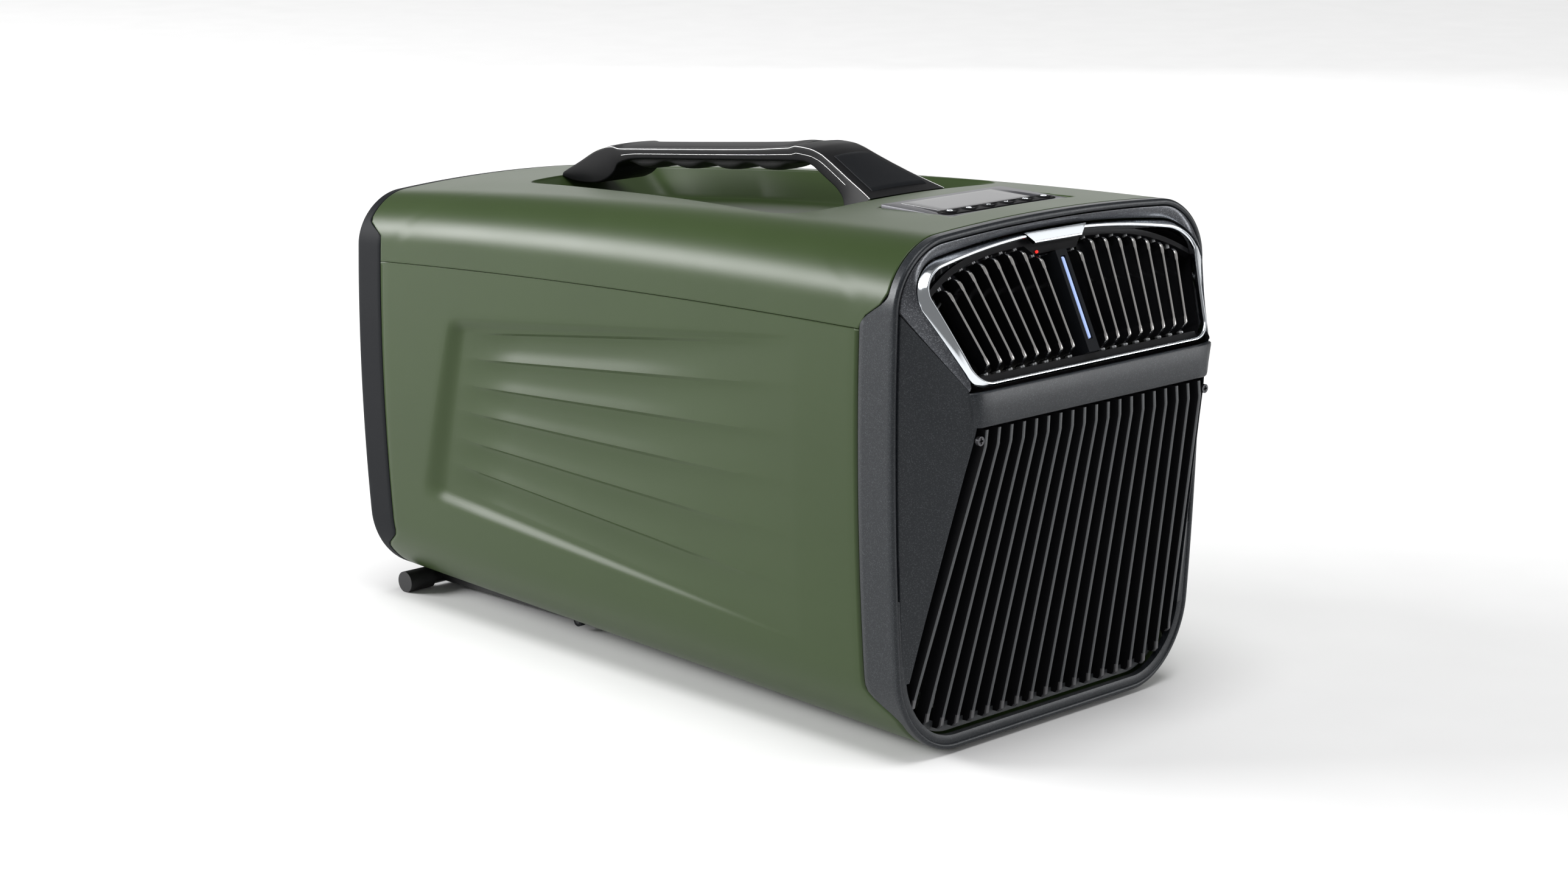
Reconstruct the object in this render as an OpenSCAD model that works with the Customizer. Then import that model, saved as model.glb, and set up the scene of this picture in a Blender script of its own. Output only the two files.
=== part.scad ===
// Portable air conditioner in a tapered tunnel casing with a carrying handle.
// Units are millimetres. +Z is up and the air outlet faces -Y.
// Casing modules work in a frame whose y = 0 is the front edge of the front ring and
// whose z = 0 is the underside of the casing there; on_feet() moves it to the final frame.

/* [Casing] */
// Width of the casing at the front
casing_w = 264; // [250:1:280]
// Height of the casing at the front, without the handle
casing_h = 293; // [285:1:300]
// Length from the front edge of the front ring to the back of the rear ring
casing_l = 488; // [480:1:500]
// How far the nose stands in front of the front ring
nose_depth = 32; // [31:1:33]
// Share of the width lost at the back
width_taper = 0.15; // [0.10:0.01:0.16]
// Share of the height lost at the back
height_taper = 0.10; // [0.06:0.01:0.12]
// Rise of the underside at the back
base_rise = 12; // [10:1:14]
// Wall thickness of the shells
wall = 3; // [2.5:0.5:3.5]
// Radius of the upper long edges
top_radius = 37; // [34:1:40]
// Radius of the lower long edges
bottom_radius = 48; // [44:1:50]
// Height of the seam between the two shells at the front
seam_height = 244; // [240:1:248]

/* [Rings] */
// Length of the front ring on the sides
front_ring_side = 27; // [24:1:30]
// Length of the rear ring on the sides
rear_ring_side = 26; // [24:1:28]
// Length of the front ring over the top
front_ring_top = 7; // [6:1:9]
// Length of the rear ring over the top
rear_ring_top = 10; // [8:1:12]

/* [Handle] */
// Width of the grip bar
handle_w = 38; // [34:1:42]
// Width of the front foot of the handle
handle_foot_w = 64; // [56:1:66]
// Depth of the hand recess under the handle
recess_depth = 20; // [16:1:21]

/* [Air outlet] */
// Vanes in each of the two banks
vane_count = 8; // [8:1:8]
// Distance between vanes at their lower ends
vane_pitch = 9.9; // [9.7:0.1:10]
// Depth of a vane blade
vane_chord = 13; // [12:0.5:14]

/* [Exhaust grille] */
// Slats in the lower grille
slat_count = 19; // [15:2:21]
// Thickness of a slat
slat_t = 3; // [2.4:0.2:3.4]

/* [Prop stand] */
// Length of the stand from its hinge to its foot tube
stand_arm = 146; // [140:1:150]
// Diameter of the rubber ends
stand_foot_d = 13.8; // [13.6:0.1:14]

/* [Hidden] */
VANES = [for (side = ["left", "right"], k = [1:vane_count]) str(side, "_vane_", k)];
BUTTONS = [for (k = [1:6]) str("button_", k)];
$fn = 48;

seam_gap = 0.5;          // shadow gap between two casing pieces
side_bulge = 6.3;        // how much narrower the section is away from its widest height
bulge_height = 0.67;     // widest height, as a share of the casing height
top_crown = 7;           // crown of the top across the width
top_arch = 6;            // crown of the top along the length
foot_lift = 2.5;         // height of the front feet under the casing
mid_y = (casing_l - nose_depth) / 2;

olive = [0.32, 0.38, 0.27];
gunmetal = [0.24, 0.25, 0.27];
charcoal = [0.13, 0.13, 0.14];
jet = [0.05, 0.05, 0.055];
silver = [0.85, 0.87, 0.90];
copper = [0.72, 0.45, 0.30];

// ---------- Sections of the casing ----------

function ease(a, b, v) = let (t = min(1, max(0, (v - a) / (b - a)))) t * t * (3 - 2 * t);
function reverse(list) = [for (i = [len(list) - 1:-1:0]) list[i]];
function arc(c, r, a0, a1, n) = [for (i = [0:n]) let (a = a0 + (a1 - a0) * i / n) c + r * [cos(a), sin(a)]];

// Crowned section: sides bulge, the top rises towards the middle
function crowned(p) =
    let (u = (p[1] - casing_h * bulge_height) / (casing_h / 2),
         x = p[0] * (1 - side_bulge / (casing_w / 2) * u * u),
         t = max(0, min(1, p[1] / casing_h)))
    [x, p[1] - top_crown * pow(x / (casing_w / 2), 2) * pow(t, 4)];

// Front section above z = cut, from the left side over the top to the right side
function upper_section(inset, cut) =
    let (hw = casing_w / 2 - inset, h = casing_h - inset, r = top_radius - inset)
    [for (p = concat(
        [for (i = [0:2]) [-hw, cut + (h - r - cut) * i / 3]],
        arc([-hw + r, h - r], r, 180, 90, 8),
        [for (i = [1:21]) [-hw + r + (2 * hw - 2 * r) * i / 22, h]],
        arc([hw - r, h - r], r, 90, 0, 8),
        [for (i = [2:-1:0]) [hw, cut + (h - r - cut) * i / 3]])) crowned(p)];

// Front section below z = cut, from the right side under the base to the left side
function lower_section(inset, cut) =
    let (hw = casing_w / 2 - inset, r = bottom_radius - inset)
    [for (p = concat(
        [for (i = [0:6]) [hw, cut + (inset + r - cut) * i / 7]],
        arc([hw - r, inset + r], r, 0, -90, 10),
        [for (i = [1:7]) [hw - r - (2 * hw - 2 * r) * i / 8, inset]],
        arc([-hw + r, inset + r], r, 270, 180, 10),
        [for (i = [6:-1:0]) [-hw, cut + (inset + r - cut) * i / 7]])) crowned(p)];

function full_section(inset) =
    let (low = lower_section(inset, seam_height))
    concat(upper_section(inset, seam_height), [for (i = [1:len(low) - 2]) low[i]]);

// A front-section point carried back to y: taper, rise and lengthwise arch
function place(p, y) =
    let (t = y / casing_l, s = p[1] / casing_h)
    [p[0] * (1 - width_taper * t), y,
     p[1] * (1 - height_taper * t) + base_rise * t * (1 - s) + top_arch * s * s * (1 - pow(2 * t - 1, 2))];

// Height of the casing's top surface over the point x, y
function top_z(x, y) =
    let (x0 = x / (1 - width_taper * y / casing_l), over = max(0, abs(x0) * 1.02 - casing_w / 2 + top_radius),
         z = casing_h - top_radius + sqrt(max(0, top_radius * top_radius - over * over)))
    place([x0, z - top_crown * pow(x0 / (casing_w / 2), 2) * pow(z / casing_h, 4)], y)[2];

// Rim of the hand recess in plan, wider at the front, from the middle of its rear edge
rim_half = [[0, 396], [20, 396], [38, 395], [46, 392.5], [50.5, 387], [52.5, 378], [56, 350], [61, 318],
    [66.5, 280], [72, 240], [80, 190], [86, 155], [88.5, 138], [87.5, 128], [83, 119.5], [75, 114],
    [62, 111.5], [40, 111], [18, 111], [0, 111]];
rim = concat(rim_half, [for (i = [len(rim_half) - 2:-1:1]) [-rim_half[i][0], rim_half[i][1]]]);
function rim_point(i, g) =
    let (n = len(rim), d = rim[(i + 1) % n] - rim[(i + n - 1) % n])
    rim[i] + g / norm(d) * [-d[1], d[0]];
function floor_point(i, g) =
    let (p = rim[i])
    [sign(p[0]) * (min(54, 0.85 * abs(p[0])) + g), 131 + (p[1] - 111) * 0.825 + (p[1] > 250 ? g : -g)];
function recess_floor(y) = top_z(0, y) - recess_depth;

// Seams between the rings and the shells, by height in the front section
function front_seam(p) =
    front_ring_top + (front_ring_side - front_ring_top) * ease(20, 40, p[1]) * (1 - ease(246, 266, p[1]));
function rear_seam(p) =
    casing_l - rear_ring_top
    - (rear_ring_side - rear_ring_top) * ease(20, 38, p[1]) * (1 - ease(262, 276, p[1]));

function quad(a, b, c, d) = [[a, b, c], [a, c, d]];

// Wall between an outer and an inner section, lofted from y0[i] to y1[i] in m steps
module loft_wall(po, pi, y0, y1, m, closed = false) {
    n = len(po);
    row = 2 * n;
    last = closed ? n - 1 : n - 2;
    points = [for (k = [0:m]) each concat(
        [for (i = [0:n - 1]) place(po[i], y0[i] + (y1[i] - y0[i]) * k / m)],
        [for (i = [0:n - 1]) place(pi[i], y0[i] + (y1[i] - y0[i]) * k / m)])];
    skins = [for (k = [0:m - 1], i = [0:last])
        let (j = (i + 1) % n, a = k * row, b = a + row)
        each concat(quad(a + i, b + i, b + j, a + j),
                    quad(a + n + i, a + n + j, b + n + j, b + n + i))];
    ends = [for (i = [0:last]) let (j = (i + 1) % n, b = m * row)
        each concat(quad(i, j, n + j, n + i), quad(b + i, b + n + i, b + n + j, b + j))];
    edges = closed ? [] : [for (k = [0:m - 1]) let (a = k * row, b = a + row, e = n - 1)
        each concat(quad(a + n, b + n, b, a), quad(a + e, b + e, b + n + e, a + n + e))];
    polyhedron(points, concat(skins, ends, edges), convexity = 10);
}

// Prism between a front polygon and the same polygon moved back by d
module facet(p, d) {
    n = len(p);
    polyhedron(concat(p, [for (q = p) q + [0, d, 0]]),
        concat([[for (i = [0:n - 1]) i]], [[for (i = [n - 1:-1:0]) n + i]],
               [for (i = [0:n - 1]) let (j = (i + 1) % n) [j, i, n + i, n + j]]));
}

module on_feet() translate([0, -mid_y, foot_lift]) children();
module mirrored() { children(); mirror([1, 0, 0]) children(); }

// ---------- Casing ----------

module top_shell() {
    po = upper_section(0, seam_height + seam_gap / 2);
    pi = upper_section(wall, seam_height + seam_gap / 2);
    y0 = [for (p = po) front_seam(p) + seam_gap / 2];
    y1 = [for (p = po) rear_seam(p) - seam_gap / 2];
    color(olive) on_feet() difference() {
        loft_wall(po, pi, y0, y1, 26);
        panel_frame() translate([-panel_w / 2, 0, -8]) cube([panel_w, panel_l, 20]);
        translate([0, 0, 230]) linear_extrude(100) polygon(rim);
    }
    color(olive) on_feet() recess_pan();
}

// Pan of the hand recess: outside of its wall, underside, floor and inside of its wall, as rings
module recess_pan() {
    n = len(rim);
    all = [for (i = [0:n - 1]) i];
    rings = [
        [for (i = all) let (p = rim_point(i, -0.2)) [p[0], p[1], top_z(p[0], p[1]) - 0.4]],
        [for (i = all) let (p = rim_point(i, -0.2)) [p[0], p[1], top_z(p[0], p[1]) - 4.5]],
        [for (i = all) let (p = floor_point(i, 1)) [p[0], p[1], recess_floor(p[1]) - 2.5]],
        [for (i = all) let (p = floor_point(i, -2)) [p[0], p[1], recess_floor(p[1])]],
        [for (i = all) let (p = floor_point(i, 1)) [p[0], p[1], recess_floor(p[1]) + 1.6]],
        [for (i = all) let (p = rim_point(i, -2.2)) [p[0], p[1], top_z(p[0], p[1]) - 0.6]]];
    m = len(rings);
    low = [0, 250, recess_floor(250) - 2.5];
    high = [0, 250, recess_floor(250)];
    polyhedron(concat([for (r = rings) each r], [low, high]),
        concat([for (k = [0, 1, 3, 4, 5], i = all)
                   let (j = (i + 1) % n, a = k * n + i, b = k * n + j, c = (k + 1) % m * n + j,
                        d = (k + 1) % m * n + i)
                   each [[a, c, b], [a, d, c]]],
               [for (i = all) [2 * n + i, m * n, 2 * n + (i + 1) % n]],
               [for (i = all) [3 * n + i, 3 * n + (i + 1) % n, m * n + 1]]), convexity = 6);
}

module lower_shell() {
    po = lower_section(0, seam_height - seam_gap / 2);
    pi = lower_section(wall, seam_height - seam_gap / 2);
    y0 = [for (p = po) front_seam(p) + seam_gap / 2];
    y1 = [for (p = po) rear_seam(p) - seam_gap / 2];
    color(olive) on_feet() loft_wall(po, pi, y0, y1, 12);
}

module front_ring() {
    po = full_section(0);
    pi = full_section(wall + 1);
    color(gunmetal) on_feet() loft_wall(po, pi, [for (p = po) 0],
        [for (p = po) front_seam(p) - seam_gap / 2], 2, closed = true);
}

module rear_ring() {
    po = full_section(0);
    pi = full_section(wall + 1);
    color(charcoal) on_feet() loft_wall(po, pi, [for (p = po) rear_seam(p) + seam_gap / 2],
        [for (p = po) casing_l], 2, closed = true);
}

// ---------- Nose ----------

// The outlet lies in a plane that leans back from the top edge of the bar
bar_top = 209.6;
bar_low = 189.5;
bar_y = -nose_depth;
outlet_z = 215.5;
outlet_lean = 26;
module outlet_plane() on_feet() translate([0, bar_y + 1.7, outlet_z]) rotate([-outlet_lean, 0, 0]) children();

// Right half of an outline across x and up the outlet plane: wider at the top, with round corners,
// and its top edge arched so that it drops towards the corners
function half_outline(wb, wt, v0, v1, rb, rt, drop) =
    let (s = atan((wt - wb) / (v1 - v0)))
    [for (p = concat(arc([wb - rb, v0 + rb], rb, -90, -s, 8), arc([wt - rt, v1 - rt], rt, -s, 90, 10),
                     [for (i = [5:-1:0]) [(wt - rt) * i / 6, v1]]))
        [p[0], p[1] - drop * pow(p[0] / wt * (p[1] - v0) / (v1 - v0), 2)]];
function outlet_outline(wb, wt, v0, v1, rb, rt, drop) =
    let (h = half_outline(wb, wt, v0, v1, rb, rt, drop))
    concat(h, [for (i = [len(h) - 2:-1:0]) [-h[i][0], h[i][1]]]);

// Ring between two such outlines, from depth d0 to depth d1 behind the outlet plane
module outlet_ring(outer, inner, d0, d1) {
    translate([0, d1, 0]) rotate([90, 0, 0]) linear_extrude(d1 - d0) difference() {
        polygon(outer);
        polygon(inner);
    }
}

outlet_outer = outlet_outline(102, 119, -3.2, 76.4, 11, 24, 10);
outlet_inner = outlet_outline(99, 113.5, -2.2, 74, 14, 17, 12);
trim_depth = 4.8;

// Flat side between ring, bar and grille, as triangles from the ring to the nose edge
module side_facets() {
    edge = [[-126.6, 0.6, 250.9], [-127.6, 0.6, 190], [-125, 0.6, 100], [-120.6, 0.6, 46]];
    tip = [[-102, -28, bar_top], [-97, -29.4, bar_low], [-116, 0.4, 46]];
    facet([edge[0], tip[0], edge[1]], 3);
    facet([edge[1], tip[0], tip[1]], 3);
    facet([edge[1], tip[1], edge[2]], 3);
    facet([edge[2], tip[1], tip[2]], 3);
    facet([edge[2], tip[2], edge[3]], 3);
}

// Band inside the front ring between two insets, from y = 0.5 to y = d + 0.5
module rim_band(inset0, inset1, d) {
    translate([0, d + 0.5, 0]) rotate([90, 0, 0]) linear_extrude(d) difference() {
        polygon(full_section(inset0));
        polygon(full_section(inset1));
    }
}

module nose_frame() {
    color(gunmetal) on_feet() {
        mirrored() side_facets();
        facet([[-101, -28, bar_top - 0.2], [101, -28, bar_top - 0.2], [97, -29.4, bar_low],
               [-97, -29.4, bar_low]], 2.5);
        facet([[-97, bar_y, bar_top - 0.5], [97, bar_y, bar_top - 0.5], [94, bar_y, bar_low + 1.5],
               [-94, bar_y, bar_low + 1.5]], 4);
        intersection() {
            rim_band(wall + 1.3, wall + 5.5, 5);
            translate([-140, -1, 0]) cube([280, 12, 100]);
        }
    }
}

// Slanted band from the trim's edge out to the front ring, over the top and down both sides
module outlet_frame() {
    edge = half_outline(102.6, 119.6, -3.8, 77, 11, 24, 10);
    inner = concat([[101.2, -1]], [for (i = [9:25]) edge[i]]);
    r = top_radius - wall - 1.3;
    outer = concat([[102.2, -27.4, bar_top + 0.7]],
        [for (p = concat(arc([casing_w / 2 - top_radius, casing_h - top_radius], r, 0, 90, 10),
                         [for (i = [5:-1:0]) [(casing_w / 2 - top_radius) * i / 6, casing_h - top_radius + r]]))
            let (q = crowned(p)) [q[0], 0.4, q[1]]]);
    half = [for (i = [0:len(inner) - 1]) [outer[i], [inner[i][0],
        bar_y + 4.4 + inner[i][1] * sin(outlet_lean), outlet_z - 1.3 + inner[i][1] * cos(outlet_lean)]]];
    pairs = concat(half, [for (i = [len(half) - 2:-1:0]) let (h = half[i])
        [[-h[0][0], h[0][1], h[0][2]], [-h[1][0], h[1][1], h[1][2]]]]);
    n = len(pairs);
    back = [0, 2.5, 0];
    color([0.62, 0.64, 0.67]) on_feet() polyhedron(
        [for (q = pairs) each [q[0], q[0] + back, q[1] + back, q[1]]],
        concat([for (i = [0:n - 2], k = [0:3]) let (a = 4 * i + k, b = 4 * i + (k + 1) % 4)
                   each [[a, b, b + 4], [a, b + 4, a + 4]]],
               [[3, 2, 1, 0], [4 * n - 4, 4 * n - 3, 4 * n - 2, 4 * n - 1]]), convexity = 6);
}

module chrome_trim() {
    color(silver) outlet_plane() {
        outlet_ring(outlet_outer, outlet_inner, 0, trim_depth);
        translate([0, 2.4, 0]) rotate([90, 0, 0]) linear_extrude(3)
            polygon([[-26.5, 75], [26.5, 75], [19.2, 68.4], [-19.2, 68.4]]);
    }
}

// ---------- Vanes ----------

bank_gap = 14.1;         // from the centre to the lower end of the inner vane
vane_fan = 0.0033;       // growth of the spacing per millimetre up the outlet plane
vane_low = 5;            // lower end of the blades, up the outlet plane
inner_top = 62.5;        // upper end of the innermost blades, under the tab
vane_depth = 1.2 + vane_chord / 2;
pin_r = 1.5;
pin_len = 3.2;
rail_top = 3.2;          // upper face of the lower rail

// Position across of vane k (1 is the innermost) at height v, and its lean
function vane_x(side, k, v) = side * (bank_gap + (k - 1) * vane_pitch) * (1 + vane_fan * (v - vane_low));
function vane_lean(side, k) = atan(vane_x(side, k, vane_low) * vane_fan);
// Height of the arch that the vanes' upper ends follow
function arch_v(x) = 68 - 13 * pow(abs(x) / 96, 3.4);
function vane_top(k) = k == 1 ? inner_top : arch_v(vane_x(1, k, 62));
module vane_frame(side, k) {
    translate([vane_x(side, k, vane_low), vane_depth, vane_low]) rotate([0, vane_lean(side, k), 0]) children();
}

module vane(side, k) {
    span = (vane_top(k) - vane_low) / cos(vane_lean(side, k));
    color([0.50, 0.51, 0.53]) outlet_plane() vane_frame(side, k) {
        linear_extrude(span) {
            square([1.8, vane_chord - 1.8], center = true);
            for (s = [-1, 1]) translate([0, s * (vane_chord / 2 - 0.9)]) circle(r = 0.9);
        }
        for (z = [0, span - 5]) translate([0, 0, z]) linear_extrude(5) circle(r = 2.4);
        translate([0, 0, -pin_len - 0.6]) cylinder(h = span + 2 * pin_len + 0.6, r = pin_r);
    }
}

// Rail of the given outline that carries the vane pins, with a running clearance in every bore
module louvre_rail(outline) {
    difference() {
        translate([0, vane_depth + 2.6, 0]) rotate([90, 0, 0]) linear_extrude(5.2) polygon(outline);
        for (side = [-1, 1], k = [1:vane_count]) vane_frame(side, k)
            translate([0, 0, -10]) cylinder(h = 90, r = pin_r + 0.08);
    }
}

module outlet_duct() {
    xs = [for (i = [-19:19]) i * 113 / 19];
    color(jet) outlet_plane() {
        outlet_ring(outlet_outer, outlet_inner, trim_depth + 0.2, 26);
        louvre_rail([[-93, -2.6], [93, -2.6], [93, rail_top], [-93, rail_top]]);
        louvre_rail(concat([for (x = xs) [x, abs(x) < 20 ? inner_top + 1 : arch_v(x) + 1]],
                           [for (x = reverse(xs)) [x, arch_v(x) + 4.5]]));
    }
}

post_w = 9.2;
module centre_post() {
    color(jet) outlet_plane() difference() {
        translate([-post_w / 2, 0.8, rail_top + 0.2]) cube([post_w, 16, inner_top - rail_top]);
        translate([-1.9, 0, 10.4]) cube([3.8, 3.8, 48.8]);
    }
}

module light_strip() {
    color([0.75, 0.85, 1.0]) outlet_plane() {
        translate([-1.7, 0.6, 10.8]) cube([3.4, 3, 48]);
        translate([-15.6, 5, 64.4]) rotate([90, 0, 0]) cylinder(h = 2.2, r = 1.3);
    }
}

// Rod behind a bank that keeps its vanes parallel
rod_v = 46;
rod_r = 1.2;
module link_rod(side) {
    x0 = vane_x(side, 1, rod_v) - side * 3;
    x1 = vane_x(side, vane_count, rod_v) + side * 3;
    color(silver) outlet_plane() translate([min(x0, x1), vane_depth + vane_chord / 2 + rod_r + 0.6, rod_v])
        rotate([0, 90, 0]) cylinder(h = abs(x1 - x0), r = rod_r);
}

// ---------- Exhaust grille ----------

grille_top_w = 90.5;     // half width of the slats' upper ends
grille_low_w = 112;      // half width of the slats' lower ends
grille_low_z = 23;
kink_z = 178;            // slats run straight down to here, then lean back

module slat(u) {
    x0 = grille_top_w * u;
    lean = atan((grille_low_w - grille_top_w) * u / (bar_low - grille_low_z));
    edge_x = x0 + (grille_low_w - grille_top_w) * u;
    over = max(0, abs(edge_x) - 76);
    tip_z = 12 + bottom_radius - sqrt(max(1, pow(bottom_radius, 2) - over * over));
    translate([x0, 0, bar_low]) rotate([0, -lean, 0]) translate([0, 0, -bar_low]) rotate([90, 0, -90])
        translate([0, 0, -slat_t / 2]) linear_extrude(slat_t)
            polygon([[-(bar_y + 1.2), bar_low - 1], [-(bar_y + 1.2), kink_z], [-1.5, tip_z],
                     [-10, tip_z], [-(bar_y + 16), kink_z], [-(bar_y + 16), bar_low - 1]]);
}

module lower_grille() {
    color(jet) on_feet() {
        for (k = [0:slat_count - 1]) slat(2 * k / (slat_count - 1) - 1);
        translate([-92, bar_y + 18, bar_low - 10]) cube([184, 4, 9]);
        for (k = [0:slat_count - 1]) let (u = 2 * k / (slat_count - 1) - 1)
            translate([grille_top_w * u - slat_t / 2, bar_y + 12, bar_low - 9]) cube([slat_t, 7, 7]);
        intersection() {
            translate([0, 7, 0]) rim_band(wall + 6, wall + 12, 5);
            translate([-140, 1, 0]) cube([280, 20, 62]);
        }
        for (k = [0:slat_count - 1]) let (u = 2 * k / (slat_count - 1) - 1, over = max(0, abs(grille_low_w * u) - 76))
            translate([grille_low_w * u - slat_t / 2, 6,
                       10 + bottom_radius - sqrt(max(1, pow(bottom_radius, 2) - over * over))])
                cube([slat_t, 5, 9]);
    }
}

// ---------- Screws ----------

rear_screw_z = [84, 243]; // heights of the screws in the rear grille

module screw(d, l) {
    difference() {
        union() {
            cylinder(h = l, d = d * 0.55);
            translate([0, 0, l]) cylinder(h = 2, d = d);
        }
        for (a = [0, 90]) rotate(a) translate([-d * 0.32, -0.5, l + 0.8]) cube([d * 0.64, 1, 2]);
    }
}

module screws() {
    color([0.55, 0.56, 0.58]) on_feet() {
        mirrored() translate([96, bar_y + 11, 183]) rotate([90, 0, 0]) screw(5.2, 8);
        for (x = [-70, 70], z = rear_screw_z) translate([x, casing_l - 7.5, z]) rotate([-90, 0, 0]) screw(6, 5);
    }
}

// ---------- Rear ----------

module rear_outline(inset, y0, y1) {
    po = full_section(inset);
    translate([0, y1, 0]) rotate([90, 0, 0]) linear_extrude(y1 - y0)
        polygon([for (p = po) let (q = place(p, casing_l)) [q[0], q[2]]]);
}

module rear_grille() {
    color(charcoal) on_feet() difference() {
        rear_outline(wall + 1.6, casing_l - 7, casing_l - 3);
        for (z = [96:11:228]) translate([-84, casing_l - 8, z]) cube([168, 6, 6]);
        translate([34, casing_l - 8, 38]) cube([38, 6, 32]);
        for (x = [-70, 70], z = rear_screw_z) translate([x, casing_l - 8, z]) rotate([-90, 0, 0]) cylinder(h = 6, d = 3.6);
    }
}

module intake_filter() {
    color([0.25, 0.26, 0.28]) on_feet() difference() {
        translate([-88, casing_l - 14, 92]) cube([176, 5, 142]);
        for (x = [-80:20:64], z = [100:18:216]) translate([x, casing_l - 15, z]) cube([16, 7, 13]);
    }
}

module power_inlet() {
    color(jet) on_feet() difference() {
        union() {
            translate([34.4, casing_l - 20, 38.4]) cube([37.2, 16, 31.2]);
            translate([32, casing_l - 3, 36]) cube([42, 1.5, 36]);
            translate([34.4, casing_l - 5, 38.4]) cube([37.2, 3, 31.2]);
        }
        translate([53, casing_l - 14, 54]) rotate([-90, 0, 0]) cylinder(h = 20, r = 9);
    }
}

// ---------- Handle ----------

// Side outline of the handle as [y, z], rear foot first
handle_profile = [[398, 273.4], [396.5, 275.2], [378, 284.5], [362, 293.4], [350, 297], [205, 311], [192, 313.4],
    [174, 313], [163, 310], [112.4, 290.9], [113.8, 290], [131, 271.9], [137, 270.9], [138, 284.6], [152, 292.6],
    [166, 298], [176, 303.4], [187, 302.9], [344, 288.7], [342, 281.2], [348, 276.6], [355, 273], [366, 270.5],
    [386, 270.5], [393.6, 273.6]];

module handle_side(w) translate([w / 2, 0, 0]) rotate([90, 0, 90]) mirror([0, 0, 1])
    linear_extrude(w) polygon(handle_profile);

// Plan outline of the handle, wide at its front foot
module handle_plan() {
    a = handle_w / 2;
    b = handle_foot_w / 2;
    linear_extrude(420) polygon([[-b, 100], [-b, 112], [-a, 164], [-a, 352], [-a + 3, 410],
        [a - 3, 410], [a, 352], [a, 164], [b, 112], [b, 100]]);
}

module handle_frame() {
    color(jet) on_feet() {
        intersection() {
            handle_side(handle_foot_w + 2);
            handle_plan();
        }
        translate([-12, 366, 262.6]) cube([24, 10, 8.7]);
    }
}

// Rubber insert under the bar with finger hollows
module handle_grip() {
    slope = atan((302.9 - 288.7) / (344 - 187));
    color(charcoal) on_feet() translate([0, 187, 302.7]) rotate([-slope, 0, 0]) difference() {
        translate([-16, 4, -6.4]) cube([32, 151, 6.2]);
        for (i = [0:3]) translate([0, 24 + i * 36, -42.6]) rotate([0, 90, 0])
            cylinder(h = 60, r = 38, center = true);
    }
}

// ---------- Control panel ----------

panel_w = 102;
panel_l = 56;
panel_y = 32;
panel_lean = 1.5;
button_pitch = 15.8;
button_y = 13;
module panel_frame() translate([0, panel_y, 288.4]) rotate([panel_lean, 0, 0]) children();

module display_lens() {
    color([0.10, 0.11, 0.12]) on_feet() panel_frame() difference() {
        translate([-panel_w / 2 + 0.3, 0.3, -0.5]) cube([panel_w - 0.6, panel_l - 0.6, 3]);
        translate([0, button_y, 0]) button_slot(0.3, 10);
    }
}

// Round-ended strip that holds the buttons
module button_slot(grow, h) {
    r = 5.5 + grow;
    translate([0, 0, -h / 2]) linear_extrude(h) {
        square([83, 2 * r], center = true);
        for (s = [-1, 1]) translate([s * 41.5, 0]) circle(r = r);
    }
}

module button_bezel() {
    color(jet) on_feet() panel_frame() translate([0, button_y, 0]) difference() {
        translate([0, 0, 1.25]) button_slot(0, 3.5);
        for (k = [1:6]) translate([(k - 3.5) * button_pitch, 0, -2]) cylinder(h = 8, r = 4.2);
    }
}

module button(k) {
    color(charcoal) on_feet() panel_frame() translate([(k - 3.5) * button_pitch, button_y, 0]) {
        translate([0, 0, 0.8]) cylinder(h = 2.6, r = 3.9);
        translate([0, 0, -3]) cylinder(h = 4, r = 1.6);
    }
}

// ---------- Feet and prop stand ----------

module front_feet() {
    color(charcoal) translate([0, -mid_y, 0]) mirrored() translate([62, 30, 0]) {
        cylinder(h = foot_lift + 0.5, r = 9);
    }
}

stand_y = 328;
stand_z = 6.6;           // hinge axis above the floor
foot_z = stand_foot_d / 2;
arm_x = 58;
tube_r = 5.4;
stand_pin_r = 2;

module stand_brackets() {
    color(charcoal) translate([0, stand_y - mid_y, 0]) mirrored() for (s = [-1, 1]) translate([arm_x + s * 8.5, 0, 0])
        difference() {
            union() {
                translate([-2, 0, stand_z]) rotate([0, 90, 0]) cylinder(h = 4, r = 3.8);
                translate([-2, -3.8, stand_z]) cube([4, 7.6, 3.8]);
            }
            translate([-3, 0, stand_z]) rotate([0, 90, 0]) cylinder(h = 6, r = stand_pin_r + 0.06);
        }
}

module prop_stand() {
    rise = foot_z - stand_z;
    color([0.2, 0.2, 0.21]) translate([0, stand_y - mid_y, 0]) {
        mirrored() translate([arm_x, 0, 0]) {
            translate([-10.6, 0, stand_z]) rotate([0, 90, 0]) cylinder(h = 21.2, r = stand_pin_r);
            translate([-5.4, 0, stand_z]) rotate([0, 90, 0]) cylinder(h = 10.8, r = 3.6);
            translate([-5, 0, stand_z - 2.5]) rotate([atan(rise / stand_arm), 0, 0]) cube([10, stand_arm, 5]);
        }
        translate([-88, stand_arm, foot_z]) rotate([0, 90, 0]) cylinder(h = 176, r = tube_r);
    }
}

module stand_feet() {
    color(jet) translate([0, stand_y - mid_y + stand_arm, foot_z]) mirrored() translate([70, 0, 0])
        rotate([0, 90, 0]) difference() {
            cylinder(h = 20, r = stand_foot_d / 2);
            translate([0, 0, -1]) cylinder(h = 19.2, r = tube_r + 0.05);
        }
}

// ---------- Inside ----------

module base_pan() {
    color([0.6, 0.6, 0.62]) on_feet() difference() {
        translate([-80, 24, 17]) cube([160, 430, 10]);
        translate([-78.5, 25.5, 18.5]) cube([157, 427, 10]);
    }
}

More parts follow.
